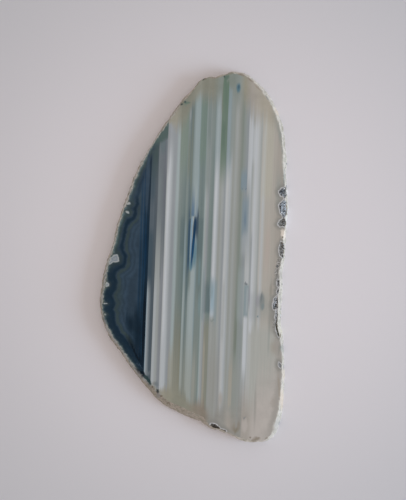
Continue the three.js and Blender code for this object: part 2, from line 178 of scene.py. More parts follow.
# Band lengths that differ from the rest of their band, in mm: from and to across the bands,
# from and to along them, how gradual each of these four sides is, the tone and its strength
PATCHES = [
    (-19.5, -16.2, 26, 60, 0.1, 0.4, 14, 1, "pine", 0.85),
    (-19.5, -18.0, 31, 60, 0.1, 1.2, 9, 1, "navy", 0.7),
    (-18.6, -16.3, 36, 60, 0.6, 0.3, 5, 1, "pine", 0.75),
    (-19.2, -17.0, 6, 26, 0.1, 0.5, 6, 8, "slate", 0.4),
    (-19.4, -17.0, -60, -8, 0.3, 1.9, 1, 11, "pale", 0.75),
    (-19.4, -18.4, -60, -11, 0.15, 0.8, 1, 9, "dew", 0.8),
    (-16.3, -12.7, -60, 22, 0.2, 1.7, 1, 32, "mist", 0.9),
    (-16.3, -14.6, -60, -6, 0.15, 1.0, 1, 12, "pale", 0.85),
    (-12.9, -10.9, -60, -26, 0.2, 0.6, 1, 18, "pale", 0.55),
    (-15.9, -13.0, 28, 50, 0.3, 0.6, 8, 3, "slate", 0.7),
    (-15.9, -12.9, 40, 50, 0.3, 0.3, 4, 2, "sage_deep", 0.6),
    (-14.3, -12.8, 12, 52, 1.0, 0.3, 12, 4, "plum", 0.5),
    (-14.3, -12.6, -60, 3, 0.6, 0.4, 1, 14, "smoke", 0.85),
    (-13.4, -12.7, 36, 62, 0.3, 0.2, 10, 1, "sage_deep", 0.85),
    (-12.8, -8.4, 36, 62, 0.2, 0.6, 14, 3, "fog", 0.8),
    (-13.5, -11.6, 30, 60, 0.3, 0.3, 8, 3, "smoke", 0.4),
    (-14.5, -13.4, -14, 16, 0.4, 0.4, 6, 6, "slate", 0.5),
    (-6.6, -4.4, -4, 17, 0.6, 0.4, 6, 4, "sage_deep", 0.5),
    (-4.6, -3.5, -14, 2, 0.3, 0.4, 4, 4, "dew", 0.4),
    (1.5, 2.7, -15, 0, 0.4, 0.4, 4, 4, "brook_dark", 0.5),
    (-7.8, -4.4, 24, 66, 0.6, 0.4, 22, 4, "lichen", 0.8),
    (-4.5, -3.2, 28, 52, 0.3, 0.3, 8, 8, "lichen_dark", 0.6),
    (-5.5, -4.5, -60, -28, 0.4, 0.3, 6, 12, "lichen_dark", 0.7),
    (-2.7, -0.9, -60, -11, 0.5, 0.4, 6, 8, "foam", 0.8),
    (-7.9, -4.6, -60, -12, 1.0, 0.2, 6, 24, "olive_dim", 0.6),
    (-4.7, -3.4, -20, 16, 0.3, 0.9, 14, 8, "sea", 0.85),
    (-4.6, -3.0, -58, -6, 0.2, 1.3, 4, 12, "foam", 0.85),
    (-3.4, -2.2, 20, 62, 0.4, 0.5, 12, 6, "lichen_dark", 0.6),
    (-3.4, -2.1, -60, -14, 0.5, 0.5, 4, 10, "sage_light", 0.75),
    (-2.3, 0.6, 20, 70, 0.5, 0.5, 12, 6, "brook", 0.7),
    (0.2, 3.1, 32, 68, 0.3, 0.3, 10, 6, "fern", 0.6),
    (0.4, 3.2, -6, 15, 0.4, 0.4, 8, 1, "sage_deep", 0.45),
    (0.4, 3.2, -62, -10, 0.4, 0.6, 4, 14, "sage_light", 0.9),
    (3.0, 5.2, 20, 70, 0.3, 0.6, 12, 4, "sage_light", 0.75),
    (4.6, 6.9, 40, 70, 0.5, 0.5, 14, 4, "sage_light", 0.85),
    (3.2, 4.9, 40, 72, 0.3, 0.6, 12, 4, "sage", 0.7),
    (3.4, 4.7, -29, -2, 0.3, 0.5, 3, 8, "sea", 0.65),
    (4.3, 7.2, -66, -24, 0.8, 0.6, 6, 8, "olive", 0.75),
    (3.4, 7.0, -25.5, -9, 2.6, 0.2, 2, 6, "sage_deep", 0.75),
    (6.8, 9.4, -76, -24.5, 0.3, 0.8, 2, 2.5, "pebble", 0.85),
    (6.9, 9.3, -28, -8, 0.3, 1.2, 7, 8, "dew", 0.85),
    (6.4, 8.2, -21, -8, 0.3, 0.4, 5, 5, "sea", 0.6),
    (6.5, 8.9, 27, 74, 0.4, 0.3, 18, 3, "brook", 0.75),
    (8.4, 9.9, -32, -9, 0.3, 0.4, 6, 4, "sea", 0.6),
    (8.6, 11.6, 24, 78, 0.5, 0.4, 18, 1, "moss", 0.9),
    (9.0, 10.9, 40, 57, 0.4, 0.8, 6, 6, "moss_dark", 0.55),
    (9.0, 11.3, 62, 78, 0.3, 0.5, 6, 1, "moss_dark", 0.5),
    (8.4, 9.6, 56, 78, 0.3, 0.3, 6, 1, "lichen_dark", 0.7),
    (8.9, 12.2, 56, 78, 0.3, 0.4, 10, 1, "moss", 0.8),
    (11.4, 16.6, 56, 80, 0.4, 1.0, 12, 1, "reed_dark", 0.6),
    (11.3, 13.7, 27, 72, 0.3, 0.6, 16, 4, "sea", 0.85),
    (12.4, 15.0, 34, 72, 0.8, 0.8, 12, 4, "reed", 0.85),
    (11.6, 12.9, -38, -9, 0.3, 0.3, 5, 6, "mist", 0.5),
    (16.6, 18.4, -44, -16, 1.2, 0.2, 6, 16, "lichen_dark", 0.5),
    (15.0, 20.6, -66, -38, 0.5, 0.4, 2, 14, "pebble", 0.75),
    (15.4, 17.4, -64, -40, 0.5, 0.6, 3, 10, "oat", 0.6),
    (-9.7, -7.3, -66, -34, 0.6, 0.3, 3, 12, "khaki", 0.6),
    (0.3, 2.0, -66, -36, 0.4, 0.5, 2, 14, "mist", 0.45),
    (4.6, 5.7, -66, -30, 0.3, 0.3, 2, 10, "oat", 0.5),
    (25.5, 26.5, -60, -10, 0.3, 0.3, 8, 6, "pebble", 0.4),
    (22.8, 28.4, -29, -14, 0.4, 0.6, 4, 4, "fog", 0.28),
    (17.5, 20.4, 24, 37, 0.5, 0.4, 4, 6, "flush", 0.75),
    (18.3, 21.7, 0, 26, 0.7, 0.7, 12, 6, "flush", 0.65),
    (19.2, 20.9, 9, 21, 0.6, 0.7, 5, 8, "haze", 0.42),
    (18.2, 22.2, -3, 10, 1.4, 0.3, 5, 4, "pale", 0.5),
    (20.25, 22.2, 22, 60, 0.2, 0.7, 12, 6, "white", 0.75),
    (20.5, 22.6, -13.4, 4, 0.3, 0.4, 1.2, 12, "milk", 0.8),
    (20.5, 22.7, -27, -12.6, 0.4, 0.3, 2, 1.2, "sea", 0.75),
    (21.6, 22.5, -26, -13, 0.3, 0.3, 3, 3, "pale", 0.6),
    (17.6, 20.9, -30, -4, 0.6, 0.5, 5, 5, "foam", 0.3),
    (19.0, 20.8, -48, -28, 0.6, 0.3, 8, 3, "reed", 0.6),
    (20.8, 22.8, -54, -25, 0.25, 0.6, 10, 2.5, "white", 0.95),
    (22.4, 23.4, -26, 12, 0.3, 0.3, 8, 8, "fog", 0.7),
    (21.5, 23.9, 35, 56, 0.4, 0.5, 6, 5, "white", 0.6),
    (24.0, 40.0, -90, -26, 0.7, 1.0, 1, 8, "clear", 0.92),
    (22.9, 25.0, -90, -31, 0.4, 0.8, 1, 3, "clear", 0.7),
    (25.0, 31.0, 20, 60, 2.9, 0.9, 6, 4, "straw", 0.5),
    (31.0, 32.2, -44, -8, 0.5, 0.5, 6, 6, "reed", 0.4),
    (-3.3, -2.1, -11, 15.0, 0.5, 0.35, 9, 1.0, "indigo", 0.95),
    (-3.5, -2.4, 11, 32, 0.4, 0.3, 5, 12, "sage_deep", 0.7),
    (-3.3, -2.3, 14.5, 21, 0.4, 0.3, 0.5, 6, "indigo", 0.5),
    (-2.3, -0.4, 14.9, 30, 0.4, 0.8, 0.7, 13, "haze", 0.95),
    (-0.7, 0.6, 14.9, 26, 0.5, 0.5, 0.7, 9, "flush", 0.8),
    (-8.6, 3.4, -70, -26, 1.0, 2.0, 1, 30, "khaki", 0.4),
    (6.4, 13.0, -74, -30, 1.5, 1.5, 1, 20, "stone", 0.45),
]

# Spots of dye and cloud: place across and along the bands, half width, half length (mm), turn in
# degrees, how much of the width fades out, the tone and its strength
STAINS = [
    (15.25, 69.2, 1.15, 2.9, 0, 0.6, "teal", 1.0),
    (15.3, 69.6, 0.6, 1.3, 0, 0.8, "ink_blue", 0.5),
    (10.2, 73.6, 1.6, 1.6, 0, 0.7, "moss_dark", 0.85),
    (9.3, 73.9, 0.5, 0.5, 0, 0.6, "spruce", 0.9),
    (-6.3, 62.6, 2.2, 2.0, 0, 0.8, "lichen_dark", 0.9),
    (-8.0, 62.0, 0.8, 0.6, 0, 0.7, "spruce", 0.8),
    (-6.4, 62.9, 0.9, 0.7, 0, 0.7, "moss_dark", 0.9),
    (12.6, 70.6, 1.3, 3.2, 0, 0.8, "reed_dark", 0.9),
    (-3.9, 57.5, 0.5, 4.0, 0, 0.8, "fog", 0.7),
    (0.7, 72.6, 0.5, 0.35, 0, 0.6, "ink", 0.85),
    (1.8, 73.1, 0.5, 0.35, 0, 0.7, "ink", 0.55),
    (26.5, -19.5, 1.4, 4.0, 0, 0.7, "lilac", 0.6),
    (28.2, -20.0, 1.5, 4.6, 0, 0.7, "slate_light", 0.95),
    (27.9, -18.4, 0.55, 2.6, 0, 0.8, "ink_blue", 0.45),
    (28.6, -22.2, 0.9, 1.9, 0, 0.7, "teal", 0.75),
    (26.7, -26.0, 0.5, 0.6, 0, 0.8, "teal", 0.8),
    (18.4, 26.6, 0.35, 0.5, 0, 0.8, "teal", 0.5),
    (19.9, 26.8, 0.5, 0.35, 0, 0.8, "indigo", 0.5),
    (29.6, 2.0, 1.9, 18.0, 0, 0.9, "rose", 0.55),
    (26.8, -72.0, 3.0, 7.0, 0, 0.9, "shell", 0.6),
    (31.6, -15.5, 1.0, 5.0, 0, 0.9, "umber", 0.45),
    (32.2, -25.0, 1.9, 11.0, 0, 0.9, "stone", 0.85),
    (29.0, -22.0, 5.0, 9.0, 0, 0.9, "pebble", 0.55),
    (33.4, 26.0, 2.2, 13.0, 0, 0.9, "pebble", 0.7),
    (34.5, -38.5, 3.4, 4.5, 0, 0.9, "umber_light", 0.6),
    (22.8, -67.0, 0.9, 0.7, 0, 0.8, "slate_light", 0.6),
    (21.4, -12.6, 0.95, 0.85, -20, 0.6, "slate_light", 0.85),
    (22.9, -18.0, 0.35, 6.5, 0, 0.8, "lilac", 0.7),
    (8.1, -27.4, 1.3, 0.7, 0, 0.8, "sage_light", 0.6),
    (2.6, -21.0, 1.0, 7.0, 0, 0.9, "brook_dark", 0.6),
    (19.4, -72.0, 1.6, 1.8, 0, 0.9, "olive_dark", 0.7),
    (-17.6, -48.9, 1.9, 1.4, 15, 0.9, "slate_light", 0.6),
    (27.0, -62.0, 0.8, 13.0, 0, 0.8, "stone", 0.55),
    (23.0, -70.2, 1.6, 3.6, 0, 0.6, "shell", 0.8),
    (20.6, -70.2, 0.9, 3.0, 0, 0.7, "umber", 0.6),
    (12.7, -59.2, 1.2, 3.8, 0, 0.8, "greige", 0.7),
    (18.4, -70.8, 1.6, 2.6, 0, 0.8, "umber", 0.45),
]

# The blue flame in the middle: the same, laid on before the patches
FLAME = [
    (-0.1, -0.5, 1.05, 7.8, -1, 0.7, "teal_light", 0.9),
    (-1.5, -4.8, 1.1, 3.4, 0, 0.6, "teal_light", 0.9),
    (1.1, 3.0, 0.6, 8.0, 0, 0.8, "sage_deep", 0.8),
    (0.5, 11.6, 0.95, 8.5, 0, 0.7, "ink_blue", 0.95),
    (-1.85, 4.5, 0.42, 10.5, 0, 0.6, "frost", 0.95),
    (-1.7, 12.8, 0.42, 3.4, 0, 0.7, "frost", 0.9),
    (-0.83, 4.6, 0.8, 12.6, -3.0, 0.5, "dye", 1.0),
    (-0.55, 10.8, 0.85, 6.0, -2, 0.5, "dye_deep", 0.9),
]

# The same for the dark side
DARK_STAINS = [
    (-22.4, -31.0, 3.2, 14.0, 0, 0.7, "navy_deep", 0.85),
    (-25.6, -29.0, 2.6, 7.0, 10, 0.8, "navy_deep", 0.85),
    (-19.9, -30.0, 0.9, 24.0, 0, 0.6, "ink", 0.9),
    (-21.9, -34.0, 2.3, 13.0, 0, 0.8, "ink", 0.5),
    (-21.2, -42.0, 1.7, 6.0, 20, 0.8, "ink", 0.6),
    (-24.8, -36.9, 2.1, 5.4, 30, 0.8, "ink", 0.6),
    (-25.2, -28.4, 2.2, 4.6, 8, 0.8, "ink", 0.45),
    (-23.0, -26.0, 1.6, 5.0, 0, 0.8, "ink", 0.35),
    (-20.2, 2.0, 0.8, 14.0, 0, 0.8, "navy_ink", 0.6),
    (-22.9, -40.6, 0.8, 7.4, 29, 0.7, "ink", 0.9),
    (-21.3, -45.6, 0.35, 3.2, 58, 0.8, "navy_light", 0.9),
    (-30.5, -18.0, 2.6, 12.0, 0, 0.9, "spruce", 0.6),
    (-20.5, 30.0, 1.0, 17.0, 0, 0.5, "navy_light", 0.85),
    (-22.1, -8.0, 0.8, 24.0, 0, 0.7, "navy_deep", 0.6),
    (-26.0, 24.0, 3.4, 9.0, -32, 0.9, "navy_light", 0.4),
]

# Spots on the rim, on its skin and on the face beside it: middle x, y, half widths that way in
# mm, turn, fade, tone and strength
RIM_SPOTS = [
    (-11.8, 57.6, 0.9, 0.9, 0, 0.6, "pale", 0.7),
    (33.0, -69.5, 1.7, 4.2, -20, 0.8, "sand_light", 0.8),
    (34.4, -69.3, 0.5, 1.0, -15, 0.7, "slate_light", 0.8),
    (22.4, -74.9, 0.5, 0.5, 0, 0.6, "umber_dark", 0.6),
    (25.0, -75.3, 2.2, 1.1, 0, 0.8, "umber", 0.85),
    (24.0, -76.1, 1.9, 0.9, 0, 0.7, "umber", 0.85),
    (28.2, -76.3, 1.4, 0.8, 10, 0.7, "shell", 0.7),
    (29.0, -75.2, 1.0, 0.7, 25, 0.8, "umber", 0.7),
    (35.4, -59.5, 1.3, 6.0, 0, 0.7, "peach", 0.8),
    (31.9, -60.8, 1.9, 3.4, 0, 0.8, "greige", 0.6),
    (35.2, -38.6, 1.3, 2.6, 0, 0.8, "stone", 0.4),
    (34.2, -55.0, 0.7, 8.0, 3, 0.7, "umber_light", 0.6),
    (36.3, -49.5, 1.0, 4.0, 0, 0.7, "peach", 0.5),
    (36.2, -46.4, 0.6, 1.4, 0, 0.6, "slate_light", 0.4),
    (35.9, -39.0, 1.4, 3.0, 0, 0.8, "pebble", 0.6),
    (34.4, -38.5, 0.7, 4.6, -8, 0.8, "stone", 0.8),
    (34.9, -38.6, 0.35, 0.9, -20, 0.6, "sage_light", 0.7),
    (34.8, -33.6, 0.4, 1.2, 0, 0.6, "olive_dark", 0.9),
    (35.5, -30.6, 1.0, 3.2, 6, 0.7, "straw_light", 0.85),
    (35.3, -8.6, 0.9, 2.2, 0, 0.8, "stone", 0.6),
    (35.0, -18.6, 0.8, 2.2, 0, 0.8, "stone", 0.6),
    (34.9, -29.4, 0.3, 0.5, 0, 0.6, "slate_light", 0.6),
    (34.9, -25.6, 0.3, 0.5, 0, 0.6, "olive_dark", 0.7),
    (35.2, -22.8, 0.3, 0.5, 0, 0.6, "slate_light", 0.7),
    (35.9, -12.4, 0.3, 0.5, 0, 0.6, "slate_light", 0.6),
    (36.3, 3.2, 0.7, 1.3, 0, 0.6, "umber_dark", 0.9),
    (36.3, 8.2, 1.4, 3.4, 0, 0.6, "cream", 0.82),
    (36.0, 6.7, 0.5, 0.6, 0, 0.6, "umber_dark", 0.9),
    (38.1, 25.7, 0.8, 1.7, 0, 0.5, "chalk", 1.0),
    (38.1, 18.5, 0.8, 2.4, 0, 0.5, "chalk", 1.0),
    (37.8, 13.6, 0.8, 3.4, 0, 0.5, "chalk", 1.0),
    (37.8, 27.9, 0.4, 0.9, 0, 0.6, "slate_light", 0.9),
    (36.9, 32.0, 0.7, 4.0, 0, 0.8, "reed", 0.6),
    (38.0, 37.6, 0.4, 0.7, 0, 0.6, "slate_light", 0.8),
    (37.0, 46.0, 0.5, 2.5, 0, 0.7, "khaki", 0.6),
    (36.3, 52.6, 0.8, 1.8, 10, 0.7, "khaki", 0.8),
    (34.0, 59.5, 1.2, 2.6, 25, 0.7, "peach", 0.7),
    (30.0, 64.8, 0.5, 2.0, 36, 0.6, "stone", 0.9),
    (26.3, 69.1, 0.8, 3.2, 45, 0.7, "umber_light", 0.95),
    (23.2, 72.4, 0.75, 2.8, 46, 0.7, "umber", 0.9),
    (19.0, 74.7, 2.6, 0.8, -14, 0.7, "umber", 0.9),
    (13.9, 75.0, 3.2, 0.9, 10, 0.7, "olive_dim", 0.9),
    (8.2, 73.5, 3.6, 0.8, 8, 0.7, "umber", 0.65),
    (4.2, 72.9, 1.3, 0.6, 8, 0.6, "umber_dark", 0.75),
    (3.6, 72.9, 0.6, 0.45, 0, 0.6, "ink", 0.9),
    (1.2, 70.9, 0.7, 2.6, -40, 0.8, "olive_dim", 0.6),
    (-5.2, 62.8, 0.8, 2.2, -35, 0.8, "olive_dim", 0.8),
    (-3.0, 62.7, 1.8, 0.7, 10, 0.8, "moss_dark", 0.8),
    (-5.5, 62.1, 0.7, 0.5, 20, 0.5, "spruce_dark", 0.95),
    (-4.0, 63.1, 0.75, 0.5, 20, 0.5, "spruce_dark", 0.9),
    (-22.8, -48.2, 0.9, 2.8, 42, 0.6, "ink", 0.8),
    (-20.6, -51.7, 0.7, 0.8, 0, 0.6, "mist", 0.8),
    (-21.1, -49.2, 0.95, 2.0, 40, 0.5, "ink", 0.95),
    (-21.5, -50.2, 0.8, 0.9, 40, 0.6, "ink", 0.75),
    (-22.9, -49.8, 1.2, 3.4, 42, 0.8, "skin_grey", 0.5),
    (-19.8, -50.6, 0.95, 1.5, 50, 0.5, "spruce_dark", 0.95),
    (-18.8, -51.9, 0.85, 1.4, 40, 0.5, "spruce_dark", 0.95),
    (-18.3, -52.8, 0.6, 1.1, 20, 0.6, "spruce_dark", 0.9),
    (-18.5, -53.4, 1.3, 1.2, 20, 0.8, "spruce_dark", 0.55),
    (-16.6, -53.2, 1.3, 1.3, 30, 0.8, "stone", 0.7),
    (-15.7, -53.4, 1.6, 1.9, 0, 0.8, "slate_light", 0.85),
    (-16.9, -54.6, 0.8, 1.5, 30, 0.7, "skin", 0.8),
    (-17.3, -54.5, 0.45, 0.6, 0, 0.6, "umber_dark", 0.9),
    (-17.8, -56.0, 0.7, 0.9, 20, 0.7, "skin", 0.8),
    (-16.1, -56.0, 0.55, 0.5, 0, 0.6, "pebble", 0.8),
    (-15.1, -56.3, 0.75, 1.3, 10, 0.5, "ink", 0.85),
    (-14.8, -58.0, 1.9, 1.6, 40, 0.8, "skin_grey", 0.8),
    (-13.6, -58.2, 0.75, 0.5, 0, 0.6, "umber_dark", 0.85),
    (-12.9, -59.5, 0.6, 0.5, 0, 0.6, "skin", 0.8),
    (-10.8, -61.0, 0.7, 0.45, 0, 0.6, "umber_dark", 0.6),
    (-3.0, -65.6, 3.4, 0.7, -24, 0.8, "greige", 0.6),
    (1.0, -67.6, 3.0, 0.7, -30, 0.8, "greige", 0.5),
    (-36.9, -27.5, 0.5, 2.6, 20, 0.7, "plum", 0.6),
    (-37.9, -10.5, 0.7, 1.5, 0, 0.8, "olive_dark", 0.6),
    (-38.0, -15.0, 0.6, 1.4, 0, 0.8, "olive_dark", 0.5),
]

# Tones of the pockets' floors and crystals, laid on in the same way
POCKET_SPOTS = [
    (35.5, 25.3, 1.0, 1.7, 0, 0.5, "gloom", 1.0),
    (37.4, 25.2, 1.1, 1.9, 0, 0.8, "milk", 0.8),
    (38.2, 25.5, 0.6, 1.6, 0, 0.6, "chalk", 0.95),
    (38.2, 18.8, 0.7, 2.2, 0, 0.6, "chalk", 0.95),
    (38.0, 13.0, 0.6, 2.4, 0, 0.6, "chalk", 0.95),
    (36.8, 18.4, 1.9, 3.4, 0, 0.3, "ice", 1.0),
    (35.1, 18.6, 0.6, 3.2, -6, 0.6, "gloom", 0.95),
    (36.2, 15.9, 0.4, 1.4, 28, 0.6, "gloom", 0.9),
    (36.7, 20.9, 0.6, 0.5, 0, 0.6, "gloom", 0.8),
    (36.9, 17.6, 0.5, 0.5, 0, 0.6, "gloom", 0.7),
    (37.3, 19.5, 0.5, 0.45, 30, 0.6, "gloom", 0.75),
    (36.2, 20.1, 0.4, 0.6, -30, 0.6, "gloom", 0.7),
    (37.4, 16.4, 0.4, 0.5, 0, 0.6, "gloom", 0.6),
    (36.1, 12.6, 2.4, 2.0, 0, 0.3, "stone", 0.9),
    (37.2, 12.0, 0.7, 1.3, 0, 0.8, "milk", 0.8),
    (35.6, 1.0, 1.6, 4.4, 0, 0.3, "umber", 0.7),
    (35.4, 2.3, 0.4, 0.5, 0, 0.6, "sand", 0.9),
    (34.0, -31.5, 2.4, 5.0, 0, 0.3, "moss_brown", 0.9),
    (9.0, -71.2, 5.0, 3.0, 0, 0.4, "umber_dark", 1.0),
]


LIGHT_ON_STONE = 0.655  # how bright a white stone looks on the stage, below its sheen
SHEEN_VEIL = 0.004  # what the polish adds by mirroring the dim ceiling
BRIGHTEST = 1.2  # the clearest quartz is set a little above white, for the light it loses inside


def seen(red, green, blue):
    """The stone's own colour, from its look in the stage's light as 0 to 255 screen values. The
    screen values are made linear by the sRGB standard's own numbers."""
    linear = []
    for value in (red, green, blue):
        share = value / 255
        linear.append(share / 12.92 if share <= 0.04045 else ((share + 0.055) / 1.055) ** 2.4)
    return tuple(max(0.0, (value - SHEEN_VEIL) / LIGHT_ON_STONE) for value in linear)


def own_tone(name, description, *colour):
    """A colour setting, from the linear colour itself."""
    return FloatVectorProperty(
        name=name, description=description, subtype="COLOR", size=3, min=0, max=BRIGHTEST,
        default=colour,
    )


def tone(name, description, *screen_value):
    """A colour setting, from how the colour looks on the screen."""
    return own_tone(name, description, *seen(*screen_value))


class AgateTones(bpy.types.PropertyGroup):
    """The colours of the stone."""

    gloom: tone("Gloom", "Dark walls of the pockets", 70, 73, 78)
    skin: tone("Skin", "Olive-grey parts of the rim", 128, 125, 116)
    skin_grey: tone("Grey skin", "Grey parts of the rim", 128, 128, 126)
    spruce_dark: tone("Dark spruce", "Green-black dye at the foot of the dark side", 44, 61, 62)
    ice: tone("Ice", "Light blue crystals", 202, 210, 217)
    cream: tone("Cream", "Lightest parts of the rim", 212, 204, 192)
    peach: tone("Peach", "Pinkish parts of the rim", 196, 184, 169)
    chalk: tone("Chalk", "Greenish white parts of the rim", 196, 196, 190)
    moss_brown: tone("Moss brown", "Dark olive grains in the pockets", 84, 82, 62)
    umber_dark: tone("Dark umber", "Brown spots in the rim and its pockets", 96, 86, 72)
    white: tone("White", "Opaque white bands", 177, 182, 185)
    milk: tone("Milk", "Softer white bands", 171, 175, 175)
    pale: tone("Pale", "Pale blue-grey bands", 158, 164, 166)
    mist: tone("Mist", "Misty grey bands", 149, 154, 152)
    fog: tone("Fog", "Cool grey bands", 135, 141, 144)
    lilac: tone("Lilac", "Grey with a breath of violet", 136, 137, 146)
    plum: tone("Plum", "Dark violet grey", 90, 92, 101)
    pebble: tone("Pebble", "Neutral grey bands", 139, 143, 138)
    slate: tone("Slate", "Dark grey bands", 99, 106, 111)
    smoke: tone("Smoke", "Grey lines beside the white bands", 126, 130, 134)
    slate_light: tone("Light slate", "Dark grey bands, a little lighter", 109, 117, 120)
    tarn: tone("Tarn", "Dim blue-grey next to the dark side", 68, 82, 91)
    tarn_light: tone("Light tarn", "Dim blue-grey further out", 78, 87, 93)
    pine: tone("Pine", "Dim green-grey next to the dark side", 60, 75, 76)
    pine_light: tone("Light pine", "Dim green-grey at the dark side's upper end", 70, 88, 85)
    foam: tone("Foam", "Pale green-blue bands", 147, 159, 159)
    sea: tone("Sea", "Green-blue bands", 125, 141, 145)
    brook: tone("Brook", "Pale green-grey bands", 130, 145, 146)
    brook_dark: tone("Dark brook", "Pale blue-green stains", 113, 136, 140)
    sage: tone("Sage", "Dark green-grey bands", 109, 122, 120)
    sage_dark: tone("Dark sage", "Darker green-grey bands", 99, 114, 113)
    sage_deep: tone("Deep sage", "Darkest green-grey bands", 88, 104, 107)
    sage_light: tone("Light sage", "Green-grey bands", 118, 129, 126)
    fern: tone("Fern", "Faint green", 103, 122, 110)
    reed: tone("Reed", "Olive-grey bands", 131, 139, 135)
    reed_dark: tone("Dark reed", "Dark olive-grey bands", 121, 129, 122)
    dew: tone("Dew", "Light blue in the bands", 136, 158, 168)
    sand: tone("Sand", "Warm grey near the pocket side", 164, 161, 153)
    sand_light: tone("Light sand", "Light warm grey", 168, 167, 162)
    straw_light: tone("Light straw", "Yellowish parts of the rim", 198, 197, 176)
    straw: tone("Straw", "Yellowish clear stone", 170, 169, 155)
    clear: tone("Clear", "Clear greenish-grey stone", 159, 161, 155)
    greige: tone("Greige", "Warm clear stone along the rim", 153, 148, 140)
    greige_dark: tone("Dark greige", "Darker clear stone along the rim", 142, 139, 132)
    olive_dim: tone("Dim olive", "Dim greenish clear stone", 122, 122, 109)
    olive: tone("Olive", "Greenish clear stone along the rim", 130, 130, 117)
    olive_dark: tone("Dark olive", "Darker greenish clear stone", 118, 111, 93)
    khaki: tone("Khaki", "Light greenish clear stone along the rim", 143, 140, 125)
    oat: tone("Oat", "Light warm clear stone along the rim", 157, 152, 139)
    stone: tone("Stone", "Grey clear stone at the foot", 138, 137, 131)
    shell: tone("Shell", "Pinkish clear stone at the foot", 170, 165, 159)
    lichen: tone("Lichen", "Faintly green bands", 115, 129, 118)
    lichen_dark: tone("Dark lichen", "Darker faintly green bands", 108, 116, 104)
    umber: tone("Umber", "Brownish clear stone along the rim", 130, 122, 110)
    umber_light: tone("Light umber", "Light brownish clear stone", 146, 138, 126)
    rose: tone("Rose", "Faint pink in the clear stone", 168, 157, 149)
    navy: tone("Navy", "The dark side", 46, 60, 72)
    navy_light: tone("Light navy", "Lighter lines in the dark side", 52, 68, 82)
    navy_blue: tone("Blue navy", "Bluest lines in the dark side", 31, 56, 78)
    navy_deep: tone("Deep navy", "Darker lines in the dark side", 26, 42, 55)
    navy_ink: tone("Ink blue", "The deepest blue beside the straight edge", 15, 42, 66)
    spruce: tone("Spruce", "Greenish parts of the dark side", 52, 65, 68)
    ink: tone("Ink", "The darkest lines", 17, 26, 35)
    ink_blue: tone("Blue ink", "Grey-blue dye at the flame's upper end", 48, 66, 83)
    moss: tone("Moss", "Green dye in the bands", 93, 113, 99)
    moss_dark: tone("Dark moss", "Deeper green dye", 84, 104, 92)
    teal: tone("Teal", "Green-blue dye stains", 84, 112, 122)
    teal_light: tone("Light teal", "Lighter green-blue dye", 94, 125, 137)
    haze: tone("Haze", "Faint blue dye", 86, 110, 130)
    flush: tone("Flush", "Fainter blue dye", 118, 135, 145)
    indigo: tone("Indigo", "Blue-violet dye", 52, 76, 96)
    dye: tone("Dye", "Deep blue dye", 34, 68, 98)
    dye_deep: tone("Deep dye", "The deepest blue dye", 24, 53, 78)
    frost: tone("Frost", "The lightest blue line", 120, 149, 172)
    halo: tone("Halo", "Darker stone beside the pockets", 127, 127, 122)
    pocket_line: tone("Pocket line", "The pale line round each pocket", 176, 177, 178)
    pocket_ground: tone("Pocket ground", "The pockets' floors", 150, 149, 145)
    pocket_speck: tone("Pocket specks", "How dark the specks on those floors are", 84, 84, 80)
    crust_dark: tone("Dark crust", "Dark specks of the crust along the pockets", 96, 97, 94)
    crust_light: tone("Light crust", "Light specks of that crust", 170, 170, 168)
    crust_low: tone("Lower crust", "Clear stone along the rim below the crust", 149, 146, 140)
    edge_right: tone("Right edge", "The thin pale edge on the pocket side", 174, 172, 163)
    edge_left: tone("Left edge", "The thin pale edge on the other side", 152, 153, 147)
    grain_ring: tone("Grain ring", "The darker ring round a pale grain", 44, 54, 60)
    grain: tone("Grain", "Outer part of a pale grain", 150, 155, 155)
    grain_inner: tone("Inner grain", "Darker part inside a pale grain", 120, 129, 136)
    grain_heart: tone("Grain heart", "The middle of a pale grain", 136, 142, 144)
    saw_dust: tone("Saw marks", "The dulled lines on the back", 186, 184, 178)
    quartz_smoky: tone("Smoky quartz", "The darker crystals", 120, 126, 130)
    quartz_clear: tone("Clear quartz", "The lighter crystals", 226, 232, 238)
    skin_low: own_tone("Lower skin", "The skin at the foot", 0.42, 0.37, 0.31)
    skin_high: own_tone("Upper skin", "The skin towards the tip", 0.50, 0.45, 0.39)
    skin_right: own_tone("Right skin", "The skin on the pocket side", 0.76, 0.73, 0.66)
    skin_grain: own_tone("Skin grains", "Chalky grains in the skin", 0.80, 0.77, 0.69)
    dirt_left: own_tone("Left dirt", "Darker patches of the skin", 0.27, 0.25, 0.19)
    dirt_right: own_tone("Right dirt", "The same on the pocket side", 0.50, 0.49, 0.41)
    top_low: own_tone("Lower top", "Top of the skin by the dark side's foot", 0.42, 0.44, 0.45)
    top_high: own_tone("Upper top", "Top of the skin further up", 0.60, 0.62, 0.61)
    skin_dye: own_tone("Skin dye", "Traces of dye in the skin", 0.15, 0.19, 0.17)
    skin_pit: own_tone("Skin pits", "Pits in the skin", 0.14, 0.13, 0.10)


def length_setting(name, description, value, least):
    """A length setting, from mm."""
    return FloatProperty(
        name=name, description=description, default=value * MM, min=least * MM, unit="LENGTH",
    )


class AgateSizes(bpy.types.PropertyGroup):
    """The sizes and finish of the slice."""

    thickness: FloatProperty(
        name="Thickness", description="From the back face to the polished face",
        default=CAD_BOX[1].z - CAD_BOX[0].z, min=MM, unit="LENGTH",
    )
    bulge: length_setting(
        "Skin bulge", "How far the rough skin swells between the faces", 0.35, 0,
    )
    face_grid: length_setting("Face grid", "Spacing of points on the polished face", 0.55, 0.2)
    back_grid: length_setting("Back grid", "Spacing of points on the sawn back", 0.9, 0.3)
    rim_points: IntProperty(
        name="Rim points", description="Points round the rim", default=1000, min=200,
    )
    rim_rows: IntProperty(
        name="Rim rows", description="Rows of points up the rim", default=22, min=6,
    )
    polish: FloatProperty(
        name="Polish", description="Roughness of the polished face",
        default=0.07, min=0, max=1, subtype="FACTOR",
    )


